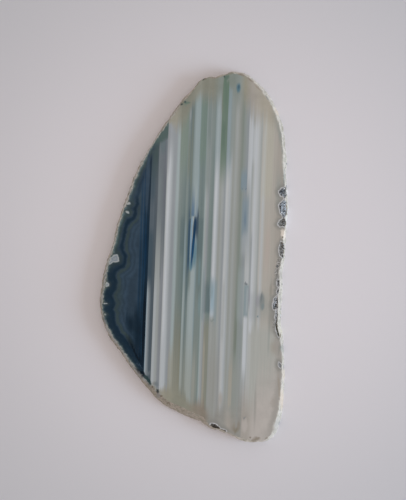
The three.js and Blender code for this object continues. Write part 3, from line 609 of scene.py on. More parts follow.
class AgateCrystals(bpy.types.PropertyGroup):
    """The quartz crystals in the pockets."""

    spacing: length_setting("Spacing", "Least distance from one crystal to the next", 0.3, 0.1)
    radius: length_setting("Radius", "Radius of a middling crystal", 0.22, 0.05)
    length: length_setting("Length", "Length of a middling crystal", 0.75, 0.1)
    seed: IntProperty(name="Seed", description="Which scatter of crystals", default=7, min=0)


def catmull_rom(before, start, end, after, steps):
    """Points from start towards end on a centripetal Catmull-Rom curve."""
    knots = [0.0]
    for one, two in ((before, start), (start, end), (end, after)):
        knots.append(knots[-1] + math.sqrt(np.linalg.norm(two - one)))
    t0, t1, t2, t3 = knots
    t = np.linspace(t1, t2, steps, endpoint=False)[:, None]
    a1 = ((t1 - t) * before + (t - t0) * start) / (t1 - t0)
    a2 = ((t2 - t) * start + (t - t1) * end) / (t2 - t1)
    a3 = ((t3 - t) * end + (t - t2) * after) / (t3 - t2)
    b1 = ((t2 - t) * a1 + (t - t0) * a2) / (t2 - t0)
    b2 = ((t3 - t) * a2 + (t - t1) * a3) / (t3 - t1)
    return ((t2 - t) * b1 + (t - t1) * b2) / (t2 - t1)


CURVE_STEPS = 24  # points on the outline's curve from one given point to the next


def rim_stations(count):
    """Points evenly spaced round the polished edge: x, y, flare, and the way out from the stone."""
    turns = np.array(OUTLINE)
    total = len(turns)
    pieces = [
        catmull_rom(*(turns[(i + step) % total] for step in (-1, 0, 1, 2)), CURVE_STEPS)
        for i in range(total)
    ]
    path = np.concatenate(pieces + [turns[:1]])
    along = np.concatenate([[0], np.cumsum(np.linalg.norm(np.diff(path, axis=0), axis=1))])
    wanted = np.linspace(0, along[-1], count, endpoint=False)
    points = np.stack([np.interp(wanted, along, path[:, k]) for k in range(3)], axis=1)
    way = np.roll(points, -1, axis=0) - np.roll(points, 1, axis=0)
    out = np.stack([way[:, 1], -way[:, 0]], axis=1)
    out /= np.linalg.norm(out, axis=1)[:, None]
    return points, out


# Takes the lumps of each size from another part of the noise
LUMP_SHIFT = (17.3, -5.1, 9.7)


def lumps(points, sizes):
    """Noise at each point: a sum over (size of a lump, how far it stands in or out), in mm."""
    total = np.zeros(len(points))
    for turn, (size, reach) in enumerate(sizes):
        shift = Vector([part * turn for part in LUMP_SHIFT])
        total += [reach * noise.noise(Vector(p) / size + shift) for p in points]
    return total


SKIN_LUMPS = [(8.0, 0.4), (3.0, 0.4), (1.3, 0.28), (0.6, 0.16)]
EDGE_WAVER = [(5.0, 0.3), (1.6, 0.24), (0.8, 0.16)]
EDGE_EASE = 0.05  # how far the rim draws in at the two sawn edges, mm
EDGE_EASE_HEIGHT = 0.035  # over what share of the thickness it does


def skin_rows(sizes):
    """The rim's rows of points in mm, from the back face's edge up to the polished edge."""
    points, out = rim_stations(sizes.rim_points)
    thickness = sizes.thickness / MM
    waver = lumps(np.column_stack([points[:, :2], np.zeros(len(points))]), EDGE_WAVER)
    rows = []
    for row in range(sizes.rim_rows):
        height = 0.5 - 0.5 * math.cos(math.pi * row / (sizes.rim_rows - 1))
        near_edge = math.exp(-height / EDGE_EASE_HEIGHT) + math.exp((height - 1) / EDGE_EASE_HEIGHT)
        level = np.full(len(points), thickness * height)
        rough = lumps(np.column_stack([points[:, :2], level]), SKIN_LUMPS)
        reach = points[:, 2] * (1 - height) + sizes.bulge / MM * math.sin(math.pi * height)
        reach = reach - EDGE_EASE * near_edge + rough * (1 - near_edge) + waver * near_edge
        rows.append(np.column_stack([points[:, :2] + out * reach[:, None], level]))
    return rows


BROAD_LOBES = 0.13  # how far a pocket's outline wavers in and out, as a share of its reach
FINE_LOBES = 0.07
NEAREST_SHARE = 0.05  # keeps the distance to the wall finite at a pocket's very middle


def lobed(bearings, pocket):
    """How far a pocket's uneven outline reaches at each bearing, as a share of its plain oval."""
    x, y = pocket[:2]
    return 1 + BROAD_LOBES * np.sin(3 * bearings + x) + FINE_LOBES * np.sin(7 * bearings + 2 * y)


def pocket_reach(places, pocket):
    """For each x, y: how far it is from a pocket's middle, as a share of the pocket's own reach
    that way, and the distance in mm out from the pocket's wall, negative inside."""
    x, y, across, along, _, turn, _ = pocket
    angle = math.radians(turn)
    away = places[:, :2] - (x, y)
    side = away[:, 0] * math.cos(angle) + away[:, 1] * math.sin(angle)
    length = away[:, 1] * math.cos(angle) - away[:, 0] * math.sin(angle)
    bearings = np.arctan2(length / along, side / across)
    share = np.hypot(side / across, length / along) / lobed(bearings, pocket)
    distance = np.hypot(away[:, 0], away[:, 1])
    return share, distance * (1 - 1 / np.maximum(share, NEAREST_SHARE))


def pocket_depth(places, pockets):
    """How deep the pockets are at each x, y, in mm."""
    deepest = np.zeros(len(places))
    for pocket in pockets:
        share, _ = pocket_reach(places, pocket)
        deepest = np.maximum(deepest, pocket[4] * np.sqrt(np.clip(1 - share**4, 0, 1)))
    return deepest


SMALLEST_RINGED = 0.4  # half width times half length of the smallest pocket with a pale line


def wall_gap(places, pockets):
    """Distance in mm from each x, y to the nearest large pocket's wall, negative inside it."""
    large = [pocket for pocket in pockets if pocket[2] * pocket[3] > SMALLEST_RINGED]
    return np.min([pocket_reach(places, pocket)[1] for pocket in large], axis=0)


BATCH = 4000  # points handled at a time, to keep the table of distances small


def distance_to(places, loop):
    """Distance in mm from each x, y to the nearest point of a loop."""
    nearest = np.empty(len(places))
    for start in range(0, len(places), BATCH):
        part = places[start : start + BATCH, None, :2] - loop[None, :, :2]
        nearest[start : start + BATCH] = np.sqrt((part**2).sum(axis=2).min(axis=1))
    return nearest


RING_SPACING = 0.22  # mm from one point to the next on a ring round a pocket
RING_SHARES = (0.2, 0.42, 0.62, 0.78, 0.89, 0.955, 0.99, 1.01, 1.08, 1.2)
RING_CLEARANCE = 1.25  # how far rings keep from other pockets, as a share of a pocket's reach
GRID_CLEARANCE = 1.3  # the same for the plain grid
RIM_CLEARANCE = 0.6  # how far all inner points keep from the rim, as a share of the spacing


def grid_inside(loop, pockets, spacing):
    """A staggered grid of points inside a loop, with rings of points round each pocket."""
    low = loop[:, :2].min(axis=0)
    high = loop[:, :2].max(axis=0)
    row_gap = spacing * math.sqrt(3) / 2
    grid = []
    for row, y in enumerate(np.arange(low[1], high[1], row_gap)):
        shift = spacing / 2 if row % 2 else 0
        grid.extend((x, y) for x in np.arange(low[0] + shift, high[0], spacing))
    grid = np.array(grid)
    rings = []
    for turn, pocket in enumerate(pockets):
        round_count = int(2 * math.pi * math.sqrt(pocket[2] * pocket[3]) / RING_SPACING)
        bearings = np.linspace(0, 2 * math.pi, round_count, endpoint=False)
        for share in RING_SHARES:
            ring = ring_points(pocket, bearings, share)
            for other in pockets[:turn]:
                ring = ring[pocket_reach(ring, other)[0] > RING_CLEARANCE]
            rings.append(ring)
        grid = grid[pocket_reach(grid, pocket)[0] > GRID_CLEARANCE]
    inner = np.concatenate([grid] + rings)
    clear = distance_to(inner, loop) > RIM_CLEARANCE * spacing
    return inner[points_inside(inner, loop) & clear]


def ring_points(pocket, bearings, share):
    """Points of a pocket's own uneven outline, drawn in or out by a share."""
    x, y, across, along, _, turn, _ = pocket
    angle = math.radians(turn)
    factor = lobed(bearings, pocket)
    side = across * share * factor * np.cos(bearings)
    length = along * share * factor * np.sin(bearings)
    return np.column_stack([
        x + side * math.cos(angle) - length * math.sin(angle),
        y + side * math.sin(angle) + length * math.cos(angle),
    ])


LEAST_RISE = 1e-12  # stands in for a level stretch's height, to divide by


def points_inside(places, loop):
    """Whether each x, y is inside a closed loop, by counting the crossings to its right."""
    inside = np.zeros(len(places), dtype=bool)
    ends = np.roll(loop, -1, axis=0)
    for (x1, y1), (x2, y2) in zip(loop[:, :2], ends[:, :2]):
        spans = (y1 > places[:, 1]) != (y2 > places[:, 1])
        if not spans.any():
            continue
        cross = x1 + (places[:, 1] - y1) * (x2 - x1) / ((y2 - y1) or LEAST_RISE)
        inside ^= spans & (places[:, 0] < cross)
    return inside


INSIDE_ONLY = 1  # the triangulation's number for filling what its edges enclose
SAME_POINT = 1e-7  # mm: the triangulation merges points this close


def filled_face(loop, pockets, spacing, level):
    """Triangles that fill a loop: the points in mm at one level, and the faces."""
    inner = grid_inside(loop, pockets, spacing)
    places = [Vector(p) for p in loop[:, :2]] + [Vector(p) for p in inner]
    count = len(loop)
    edges = [(i, (i + 1) % count) for i in range(count)]
    points, _, faces, *_ = geometry.delaunay_2d_cdt(places, edges, [], INSIDE_ONLY, SAME_POINT)
    flat = np.array([(p.x, p.y, level) for p in points])
    return flat, [tuple(face) for face in faces]


POLISHED_SLOT, SAWN_SLOT, RIND_SLOT = range(3)  # the slice's materials in their order


def slice_surface(sizes):
    """The whole surface of the slice in mm: its points, its faces, each face's material number and
    the rows of the rim."""
    rows = skin_rows(sizes)
    count = sizes.rim_points
    thickness = sizes.thickness / MM
    points = list(np.concatenate(rows))
    faces = []
    slots = []
    for row in range(len(rows) - 1):
        for i in range(count):
            a = row * count + i
            b = row * count + (i + 1) % count
            faces.append((a, b, b + count, a + count))
            slots.append(RIND_SLOT)
    for loop, pockets, spacing, level, slot in (
        (rows[-1], FRONT_POCKETS, sizes.face_grid / MM, thickness, POLISHED_SLOT),
        (rows[0], BACK_POCKETS, sizes.back_grid / MM, 0.0, SAWN_SLOT),
    ):
        flat, triangles = filled_face(loop, pockets, spacing, level)
        shift = len(points)
        points.extend(flat)
        for a, b, c in triangles:
            corners = (a + shift, b + shift, c + shift)
            faces.append(corners if slot == POLISHED_SLOT else corners[::-1])
            slots.append(slot)
    return np.array(points), faces, slots, rows


WELD = 2e-7  # metres: points this close are one


def welded_mesh(name, points, faces, slots):
    """A mesh in metres from points in mm, with points at one place merged and faces outward."""
    mesh = bpy.data.meshes.new(name)
    mesh.from_pydata([Vector(p) * MM for p in points], [], faces)
    mesh.polygons.foreach_set("material_index", slots)
    work = bmesh.new()
    work.from_mesh(mesh)
    bmesh.ops.remove_doubles(work, verts=work.verts, dist=WELD)
    bmesh.ops.recalc_face_normals(work, faces=work.faces)
    work.to_mesh(mesh)
    work.free()
    return mesh


def band_place(places):
    """How far across the bands each x, y is, in mm."""
    x = places[:, 0]
    return x - places[:, 1] * (BAND_LEAN + BAND_SPREAD * (x - BAND_MIDDLE))


LEAST_STEP = 1e-9  # mm across the bands: rim points closer than this count as one


def band_ends(places, loop):
    """How far each x, y is from its band's upper end and lower end at the rim, in mm."""
    across = band_place(loop)
    first = int(np.argmin(across))
    upper = np.arange(first, -1, -1)
    upper = np.concatenate([upper, np.arange(len(loop) - 1, len(loop) // 2, -1)])
    lower = np.arange(first, len(loop))
    ends = []
    for chain in (upper, lower):
        steady = np.maximum.accumulate(across[chain])
        keep = np.concatenate([[True], np.diff(steady) > LEAST_STEP])
        chain = chain[keep]
        ends.append(np.interp(band_place(places), steady[keep], loop[chain, 1]))
    return ends[0] - places[:, 1], places[:, 1] - ends[1]


def store(mesh, name, values):
    """Keeps one number for each point of a mesh, for its materials to read."""
    layer = mesh.attributes.new(name, "FLOAT", "POINT")
    layer.data.foreach_set("value", np.asarray(values, dtype=np.float32))


LIP_REACH = 0.2  # how far past the polished outline an open pocket's dark floor goes, mm
EDGE_STRIP = 0.12  # mm from the edge that a closed pocket leaves standing
EDGE_SLOPE = 0.4  # mm over which it then reaches its whole depth
POCKET_LUMPS = [(0.7, 0.35)]  # a lump's size in mm, and its reach as a share of the depth
ON_FACE = 1e-4  # mm: a point this close to a face's level is on it
LIP_SHARE = 0.5  # how much of a pocket's depth its lip counts as, for its tone


def standing_share(distance):
    """How much of a closed pocket's depth there is at each distance from the edge."""
    return np.clip((distance - EDGE_STRIP) / EDGE_SLOPE, 0, 1)


def sink_pockets(mesh, rows, thickness):
    """Lowers the pockets into both faces, and stores what the materials read."""
    flat = np.empty(len(mesh.vertices) * 3)
    mesh.vertices.foreach_get("co", flat)
    places = flat.reshape(-1, 3) / MM
    top_loop = rows[-1]
    beyond = distance_to(places, top_loop)
    to_rim = np.where(points_inside(places, top_loop), beyond, 0)
    open_depth = pocket_depth(places, [p for p in FRONT_POCKETS if p[6]])
    closed_depth = pocket_depth(places, [p for p in FRONT_POCKETS if not p[6]])
    front_depth = np.maximum(open_depth, closed_depth * standing_share(to_rim))
    back_depth = pocket_depth(places, BACK_POCKETS) * standing_share(distance_to(places, rows[0]))
    ragged = 1 + lumps(places, POCKET_LUMPS)
    level = places[:, 2].copy()
    on_front = level > thickness - ON_FACE
    on_back = level < ON_FACE
    ceiling = thickness - np.where(on_front, front_depth, open_depth) * ragged
    places[:, 2] = np.where(on_back, back_depth * ragged, np.minimum(level, ceiling))
    mesh.vertices.foreach_set("co", (places * MM).ravel())
    at_lip = ~(on_front | on_back) & (level > ceiling) & (beyond < LIP_REACH)
    hollow = np.where(on_front, front_depth, np.where(at_lip, open_depth * LIP_SHARE, 0))
    tip, foot = band_ends(places, top_loop)
    for name, values in (
        ("rim", to_rim), ("tip", tip), ("foot", foot),
        ("hollow", np.where(on_back, back_depth, hollow)),
        ("wall_gap", wall_gap(places, FRONT_POCKETS)), ("back_gap", wall_gap(places, BACK_POCKETS)),
        ("wrap", wrapped_distance(places, to_rim)), ("grain_gap", grain_gap(places)),
    ):
        store(mesh, name, values)


def grain_gap(places):
    """Distance in mm from each x, y to the nearest pale grain's edge, negative inside it."""
    grains = [(x, y, across, along, 0, turn, False) for x, y, across, along, turn in PALE_GRAINS]
    return np.min([pocket_reach(places, grain)[1] for grain in grains], axis=0)


WRAP_SOFTNESS = 0.7  # mm over which the two distances blend
GRAIN_STANDOFF = 0.4  # mm that a grain's edge counts as inside the rim


def wrapped_distance(places, to_rim):
    """Distance in mm to the rim or to a pale grain, with the lines between them rounded off."""
    near_grain = np.maximum(grain_gap(places), 0) + GRAIN_STANDOFF
    near = np.exp(-to_rim / WRAP_SOFTNESS) + np.exp(-near_grain / WRAP_SOFTNESS)
    return -WRAP_SOFTNESS * np.log(near)


class Wiring:
    """Adds nodes to one node tree and joins them."""

    def __init__(self, tree):
        self.tree = tree

    def add(self, kind, inputs=(), **settings):
        """A node with its settings, and its inputs given by name or number."""
        node = self.tree.nodes.new(kind)
        for name, value in settings.items():
            setattr(node, name, value)
        self.fill(node, dict(inputs))
        return node

    def fill(self, node, inputs):
        """Gives a node its inputs by name or number."""
        for key, value in inputs.items():
            self.put(node.inputs[key], value)

    def put(self, socket, value):
        """Joins a socket to another, or sets it to a value."""
        if isinstance(value, bpy.types.NodeSocket):
            self.tree.links.new(value, socket)
        else:
            socket.default_value = value

    def math(self, operation, one, two=0.0, three=0.0):
        node = self.add("ShaderNodeMath", {0: one, 1: two, 2: three}, operation=operation)
        return node.outputs[0]

    def plus(self, one, two):
        return self.math("ADD", one, two)

    def minus(self, one, two):
        return self.math("SUBTRACT", one, two)

    def times(self, product, *factors):
        for factor in factors:
            product = self.math("MULTIPLY", product, factor)
        return product

    def times_plus(self, value, factor, extra):
        return self.math("MULTIPLY_ADD", value, factor, extra)

    def shaken(self, value, noise, reach):
        """A value moved up and down by a noise, over a whole reach."""
        return self.times_plus(self.minus(noise, 0.5), reach, value)

    def spread(self, value, low, high, to_low=0.0, to_high=1.0, smooth=True):
        """A value brought from one range to another: smoothly and held at its ends, or straight."""
        node = self.add(
            "ShaderNodeMapRange",
            {"Value": value, "From Min": low, "From Max": high, "To Min": to_low, "To Max": to_high},
            interpolation_type="SMOOTHSTEP" if smooth else "LINEAR", clamp=False,
        )
        return node.outputs["Result"]

    def blend(self, share, one, two, mode="MIX"):
        """Colour one, with colour two over it by a share."""
        node = self.add(
            "ShaderNodeMix", {0: share, 6: opaque(one), 7: opaque(two)},
            data_type="RGBA", blend_type=mode,
        )
        return node.outputs[2]

    def dimmed(self, colour, factor):
        """A colour made darker or lighter by a factor."""
        return self.blend(1.0, colour, self.grey(factor), "MULTIPLY")

    def noise(self, place, scale, detail=2.0, roughness=0.5):
        """Noise at a place in metres: the scale is how many lumps there are in a mm."""
        node = self.add(
            "ShaderNodeTexNoise",
            {"Vector": place, "Scale": scale / MM, "Detail": detail, "Roughness": roughness},
        )
        return node.outputs["Fac"]

    def line_noise(self, value, scale, detail=2.0, roughness=0.5):
        """Noise along one value in mm."""
        node = self.add(
            "ShaderNodeTexNoise",
            {"W": value, "Scale": scale, "Detail": detail, "Roughness": roughness},
            noise_dimensions="1D",
        )
        return node.outputs["Fac"]

    def place(self):
        """Object coordinates, in metres."""
        return self.add("ShaderNodeTexCoord").outputs["Object"]

    def split_mm(self, place):
        """The x, y and z of a place, in mm."""
        node = self.add("ShaderNodeSeparateXYZ", {0: place})
        return [self.math("DIVIDE", part, MM) for part in node.outputs]

    def distance(self, place, centre):
        """How far a place is from a fixed one, in metres."""
        node = self.add("ShaderNodeVectorMath", {0: place, 1: centre}, operation="DISTANCE")
        return node.outputs["Value"]

    def streaks(self, place, scale_across, scale_along, detail=2.0):
        """Noise drawn out along the bands: the scales are in lumps a mm."""
        turned = self.add(
            "ShaderNodeMapping",
            {"Vector": place, "Rotation": (0, 0, -math.atan(BAND_LEAN)),
             "Scale": (MM / scale_across, MM / scale_along, 1)},
            vector_type="TEXTURE",
        )
        node = self.add(
            "ShaderNodeTexNoise", {"Vector": turned.outputs[0], "Scale": 1.0, "Detail": detail}
        )
        return node.outputs["Fac"]

    def grey(self, value):
        return self.add("ShaderNodeCombineColor", {0: value, 1: value, 2: value}).outputs[0]

    def curve(self, value, stops, top):
        """A value looked up along straight lines between stops: (value in, value out)."""
        low, high = stops[0][0], stops[-1][0]
        share = self.spread(value, low, high, smooth=False)
        node = self.add("ShaderNodeFloatCurve", {"Value": share})
        node.mapping.extend = "HORIZONTAL"
        line = node.mapping.curves[0]
        while len(line.points) < len(stops):
            line.points.new(0.5, 0.5)
        for point, (at, result) in zip(line.points, stops):
            point.location = ((at - low) / (high - low), result / top)
            point.handle_type = "VECTOR"
        node.mapping.update()
        return self.times(node.outputs[0], top)

    def attribute(self, name):
        return self.add("ShaderNodeAttribute", attribute_name=name).outputs["Fac"]

    def bump(self, height, strength, distance):
        """The surface's direction, dented by a height over a distance in metres."""
        node = self.add(
            "ShaderNodeBump", {"Height": height, "Strength": strength, "Distance": distance}
        )
        return node.outputs["Normal"]


def opaque(colour):
    """A colour of three numbers with full cover, or a socket as it is."""
    if isinstance(colour, bpy.types.NodeSocket):
        return colour
    return (*colour[:3], 1.0)


def new_group(name, colours, numbers):
    """A shader node group with named colour inputs, named numbers with their values, and one
    colour that comes out."""
    group = bpy.data.node_groups.new(name, "ShaderNodeTree")
    for label in colours:
        group.interface.new_socket(label, in_out="INPUT", socket_type="NodeSocketColor")
    for label, value in numbers.items():
        socket = group.interface.new_socket(label, in_out="INPUT", socket_type="NodeSocketFloat")
        socket.default_value = value
    group.interface.new_socket("Color", in_out="OUTPUT", socket_type="NodeSocketColor")
    wiring = Wiring(group)
    taken = wiring.add("NodeGroupInput").outputs
    given = wiring.add("NodeGroupOutput").inputs["Color"]
    return wiring, taken, given


# The noises of the stone, its skin and the floor: lumps a mm, detail and roughness
HAIR_NOISE = (3.2, 3.0, 0.65)
LINING_NOISE = (1.3, 2.0, 0.6)
RIM_CLOUD_NOISE = (0.22, 4.0, 0.6)
TIP_DYE_NOISE = (0.8, 4.0, 0.65)
WRAP_NOISE = (0.55, 4.0, 0.6)
SPECK_NOISE = (1.7, 3.0, 0.6)
DARK_CLOUD_NOISE = (0.3, 4.0, 0.6)
WALL_NOISE = (1.3, 3.0)
GROUND_NOISE = (1.6, 3.0, 0.6)
SPOT_NOISE = (1.2, 3.0, 0.6)
CRUST_NOISE = (1.1, 4.0, 0.7)
CRUST_SPECK_NOISE = (2.0, 3.0, 0.6)
EDGE_NOISE = (0.7, 3.0, 0.6)
GRAIN_NOISE = (1.5,)
SMEAR_NOISE = (0.07, 5.0, 0.6)
POLISH_NOISE = (0.05,)
SKIN_NOISE = (0.9, 4.0, 0.7)
DIRT_NOISE = (0.55, 4.0, 0.65)
SKIN_GRAIN_NOISE = (1.8, 5.0, 0.7)
DYE_TRACE_NOISE = (0.6, 4.0, 0.6)
PIT_NOISE = (0.9, 6.0, 0.75)
RELIEF_NOISE = (2.2, 8.0, 0.75)
CRYSTAL_NOISE = (1.1,)
FLOOR_NOISE = (0.009, 4.0)

# The groups' inputs in the order in which the tables of stains and patches give their numbers
STAIN_INPUTS = ("Middle across", "Middle along", "Half across", "Half along")
PATCH_SIDES = ("Left", "Right", "Low", "High")
PATCH_INPUTS = PATCH_SIDES + tuple(side + " fade" for side in PATCH_SIDES)

STAIN_RAGGED = 0.5  # how far a stain's edge wavers, as a share of its reach


def stain_group():
    """Lays a tone over a colour in an oval with a faded, slightly ragged edge."""
    numbers = ("Across", "Along", "Ragged", *STAIN_INPUTS, "Turn", "Fade", "Strength")
    wiring, taken, given = new_group("Stain", ("Color", "Tone"), dict.fromkeys(numbers, 0.0))
    side = wiring.minus(taken["Across"], taken["Middle across"])
    length = wiring.minus(taken["Along"], taken["Middle along"])
    cosine = wiring.math("COSINE", taken["Turn"])
    sine = wiring.math("SINE", taken["Turn"])
    turned_side = wiring.times_plus(length, sine, wiring.times(side, cosine))
    turned_length = wiring.minus(wiring.times(length, cosine), wiring.times(side, sine))
    one = wiring.math("DIVIDE", turned_side, taken["Half across"])
    two = wiring.math("DIVIDE", turned_length, taken["Half along"])
    squares = wiring.times_plus(one, one, wiring.times(two, two))
    distance = wiring.times_plus(taken["Ragged"], STAIN_RAGGED, wiring.math("SQRT", squares))
    inner = wiring.minus(1.0, taken["Fade"])
    cover = wiring.times(wiring.spread(distance, inner, 1.0, 1.0, 0.0), taken["Strength"])
    wiring.put(given, wiring.blend(cover, taken["Color"], taken["Tone"]))


def patch_group():
    """Lays a tone over a stretch of some bands, with its own fade on each of its four sides."""
    numbers = ("Across", "Along", *PATCH_INPUTS, "Strength")
    wiring, taken, given = new_group("Patch", ("Color", "Tone"), dict.fromkeys(numbers, 0.0))
    cover = taken["Strength"]
    for value, side, inwards in (
        ("Across", "Left", "ADD"), ("Across", "Right", "SUBTRACT"),
        ("Along", "Low", "ADD"), ("Along", "High", "SUBTRACT"),
    ):
        whole = wiring.math(inwards, taken[side], taken[side + " fade"])
        cover = wiring.times(cover, wiring.spread(taken[value], taken[side], whole))
    wiring.put(given, wiring.blend(cover, taken["Color"], taken["Tone"]))


BAND_WAVER = 0.12  # mm that the bands drift from side to side on their way
END_RAGGED = 3.0  # mm over which the ends of stains and patches are ragged
DRIFT_STREAKS = (0.25, 0.03)  # lumps a mm, across the bands and along them
RAGGED_STREAKS = (1.4, 0.08)
UNEVEN_STREAKS = (0.9, 0.05)
EDGE_FADE = 0.1  # mm to each side over which the dark side's straight edge fades


def banding_group(tones):
    """The slice's whole pattern: straight bands, stains, the clear rim and the dark side.

    Everything after the noises is plain numbers and colours in the order of its use: Cycles
    keeps a value only until its last use, and it has little room."""
    wiring, taken, given = new_group("Agate banding", (), {"Waver": BAND_WAVER})
    place = wiring.place()
    drift = wiring.streaks(place, *DRIFT_STREAKS)
    ragged = wiring.minus(wiring.streaks(place, *RAGGED_STREAKS, detail=3.0), 0.5)
    uneven = wiring.streaks(place, *UNEVEN_STREAKS)
    x, y, _ = wiring.split_mm(place)
    lean = wiring.times_plus(x, BAND_SPREAD, BAND_LEAN - BAND_SPREAD * BAND_MIDDLE)
    straight = wiring.minus(x, wiring.times(y, lean))
    across = wiring.shaken(straight, drift, taken["Waver"])
    along = wiring.times_plus(ragged, END_RAGGED, y)
    colour = band_colours(wiring, across, BANDS, tones)
    colour = stained(wiring, colour, across, along, ragged, FLAME, tones)
    colour = patched(wiring, colour, across, along, tones)
    colour = fine_lines(wiring, colour, across, uneven)
    colour = clear_rim(wiring, colour, across, place, tones)
    colour = stained(wiring, colour, across, along, ragged, STAINS, tones)
    colour = dark_tip(wiring, colour, across, place, y, tones)
    dark = dark_side(wiring, across, along, ragged, place, tones)
    past = wiring.spread(across, DARK_SIDE_EDGE - EDGE_FADE, DARK_SIDE_EDGE + EDGE_FADE)
    wiring.put(given, wiring.blend(past, dark, colour))


MOST_STOPS = 32  # what one colour ramp can hold


def band_colours(wiring, across, bands, tones):
    """The bands as colour ramps, as many as their number of tones needs."""
    colour = ramp_of(wiring, across, bands[:MOST_STOPS], tones)
    for start in range(MOST_STOPS - 1, len(bands) - 1, MOST_STOPS - 1):
        part = bands[start : start + MOST_STOPS]
        ramp = ramp_of(wiring, across, part, tones)
        past = wiring.math("GREATER_THAN", across, part[0][0])
        colour = wiring.blend(past, colour, ramp)
    return colour


def ramp_of(wiring, value, stops, tones):
    """A colour ramp over a range of a value: stops are (value, name of the tone)."""
    low, high = stops[0][0], stops[-1][0]
    node = wiring.add("ShaderNodeValToRGB", {"Fac": wiring.spread(value, low, high, smooth=False)})
    elements = node.color_ramp.elements
    for number, (at, name) in enumerate(stops):
        share = (at - low) / (high - low)
        if number == 0:
            element = elements[0]
        elif number == len(stops) - 1:
            element = elements[-1]
        else:
            element = elements.new(share)
        element.position = share
        element.color = opaque(getattr(tones, name))
    return node.outputs["Color"]


HAIR_STRENGTH = 0.4  # how much a hair line lightens or darkens the stone
SLOW_STRENGTH = 0.14  # how much the wider streaks do


def fine_lines(wiring, colour, across, uneven):
    """Hair-thin growth lines, stronger in some stretches of a band than in others."""
    hair = wiring.line_noise(across, *HAIR_NOISE)
    change = wiring.times(wiring.minus(hair, 0.5), uneven)
    bright = wiring.times_plus(change, HAIR_STRENGTH, 1.0)
    slow = wiring.shaken(1.0, uneven, SLOW_STRENGTH)
    return wiring.dimmed(colour, wiring.times(bright, slow))


def laid_over(wiring, colour, group, tone_colour, strength, places):
    """A colour with one stain or patch laid over it."""
    inputs = {"Color": opaque(colour), "Tone": opaque(tone_colour), "Strength": strength, **places}
    node = wiring.add("ShaderNodeGroup", inputs, node_tree=bpy.data.node_groups[group])
    return node.outputs["Color"]


def patched(wiring, colour, across, along, tones):
    """The bands with every patch laid over them in turn."""
    for *sides, name, strength in PATCHES:
        places = {"Across": across, "Along": along, **dict(zip(PATCH_INPUTS, sides))}
        colour = laid_over(wiring, colour, "Patch", getattr(tones, name), strength, places)
    return colour


def stained(wiring, colour, across, along, ragged, stains, tones):
    """A colour with every stain laid over it in turn."""
    for *oval, turn, fade, name, strength in stains:
        places = {
            "Across": across, "Along": along, "Ragged": ragged, **dict(zip(STAIN_INPUTS, oval)),
            "Turn": math.radians(turn), "Fade": fade,
        }
        colour = laid_over(wiring, colour, "Stain", getattr(tones, name), strength, places)
    return colour


LINING_WAVER = 0.9  # how unevenly the clear stone reaches in, as a share of its reach
LINING_FADE = (0.35, 1.25)  # shares of that reach between which it gives way to the bands
LINING_STRENGTH = 0.93


def lining_share(wiring, across, distance, lining, shift):
    """How far the clear rim stone has taken over, from the distance to a band's end."""
    reach = wiring.curve(across, lining, LONGEST_LINING)
    uneven = wiring.line_noise(wiring.plus(across, shift), *LINING_NOISE)
    reach = wiring.times(reach, wiring.shaken(1.0, uneven, LINING_WAVER))
    return wiring.spread(wiring.math("DIVIDE", distance, reach), *LINING_FADE, LINING_STRENGTH, 0.0)


RIM_CLOUD = 0.34  # how strongly the clear rim stone is clouded
FOOT_SHIFT = 50.0  # mm: takes the foot's unevenness from another stretch of the noise


def clear_rim(wiring, colour, across, place, tones):
    """Fades the bands into the clear warm stone that lines the rim, each at its own distance."""
    cloud = wiring.shaken(1.0, wiring.noise(place, *RIM_CLOUD_NOISE), RIM_CLOUD)
    for name, lining, lining_tones, shift in (
        ("tip", TIP_LINING, TIP_TONES, 0.0), ("foot", FOOT_LINING, FOOT_TONES, FOOT_SHIFT)
    ):
        share = lining_share(wiring, across, wiring.attribute(name), lining, shift)
        stone = wiring.dimmed(ramp_of(wiring, across, lining_tones, tones), cloud)
        colour = wiring.blend(share, colour, stone)
    return colour


# The dye at the dark side's upper end: its sides as the mm from where it starts to where it is
# full, and where it turns lighter
TIP_DYE_DEPTH = (5.8, 3.4)
TIP_DYE_SIDE = (-12.6, -12.95)
TIP_DYE_START = (30.0, 36.0)
TIP_DYE_THIN = (48.5, 45.5)
TIP_DYE_THINNED = 1.2  # mm that it draws back there
TIP_DYE_LIGHTER = (42.5, 47.5)
TIP_DYE_RAGGED = 2.2  # mm
TIP_DYE_MOTTLE = (0.4, 0.62)  # noise, from its green tone to its blue one


def dark_tip(wiring, colour, across, place, y, tones):
    """The dye that crept along the rim past the dark side, at its upper end."""
    mottle = wiring.noise(place, *TIP_DYE_NOISE)
    near = wiring.times_plus(mottle, TIP_DYE_RAGGED, wiring.attribute("rim"))
    near = wiring.plus(near, wiring.spread(y, *TIP_DYE_THIN, 0.0, TIP_DYE_THINNED))
    share = wiring.spread(near, *TIP_DYE_DEPTH)
    share = wiring.times(share, wiring.spread(across, *TIP_DYE_SIDE))
    share = wiring.times(share, wiring.spread(y, *TIP_DYE_START))
    dye = wiring.blend(wiring.spread(mottle, *TIP_DYE_MOTTLE), tones.pine, tones.navy)
    dye = wiring.blend(wiring.spread(y, *TIP_DYE_LIGHTER), dye, tones.pine_light)
    return wiring.blend(share, colour, dye)


WRAP_WAVER = 1.4  # mm that the lines along the rim waver
BESIDE_EDGE = (-24.5, -21.8)  # mm across the bands, where the straight lines take over
BESIDE_RIM = (1.2, 4.0)  # mm in from the rim, the same
LOW_END = (2.0, -10.0)  # mm along the bands, where the deeper lower part begins
LOW_INNER = (3.3, 2.6)  # mm in from the rim, between which and the next it lies
LOW_OUTER = (-0.3, 1.3)
LOW_STRENGTH = 0.88
SPECK_DEPTH = (3.2, 1.0)  # mm in from the rim, where the green specks lie
SPECKS = (0.55, 0.7, 0.0, 0.5)  # noise from and to, and their strength from and to
DARK_CLOUD = 0.6  # how strongly the dark side is clouded


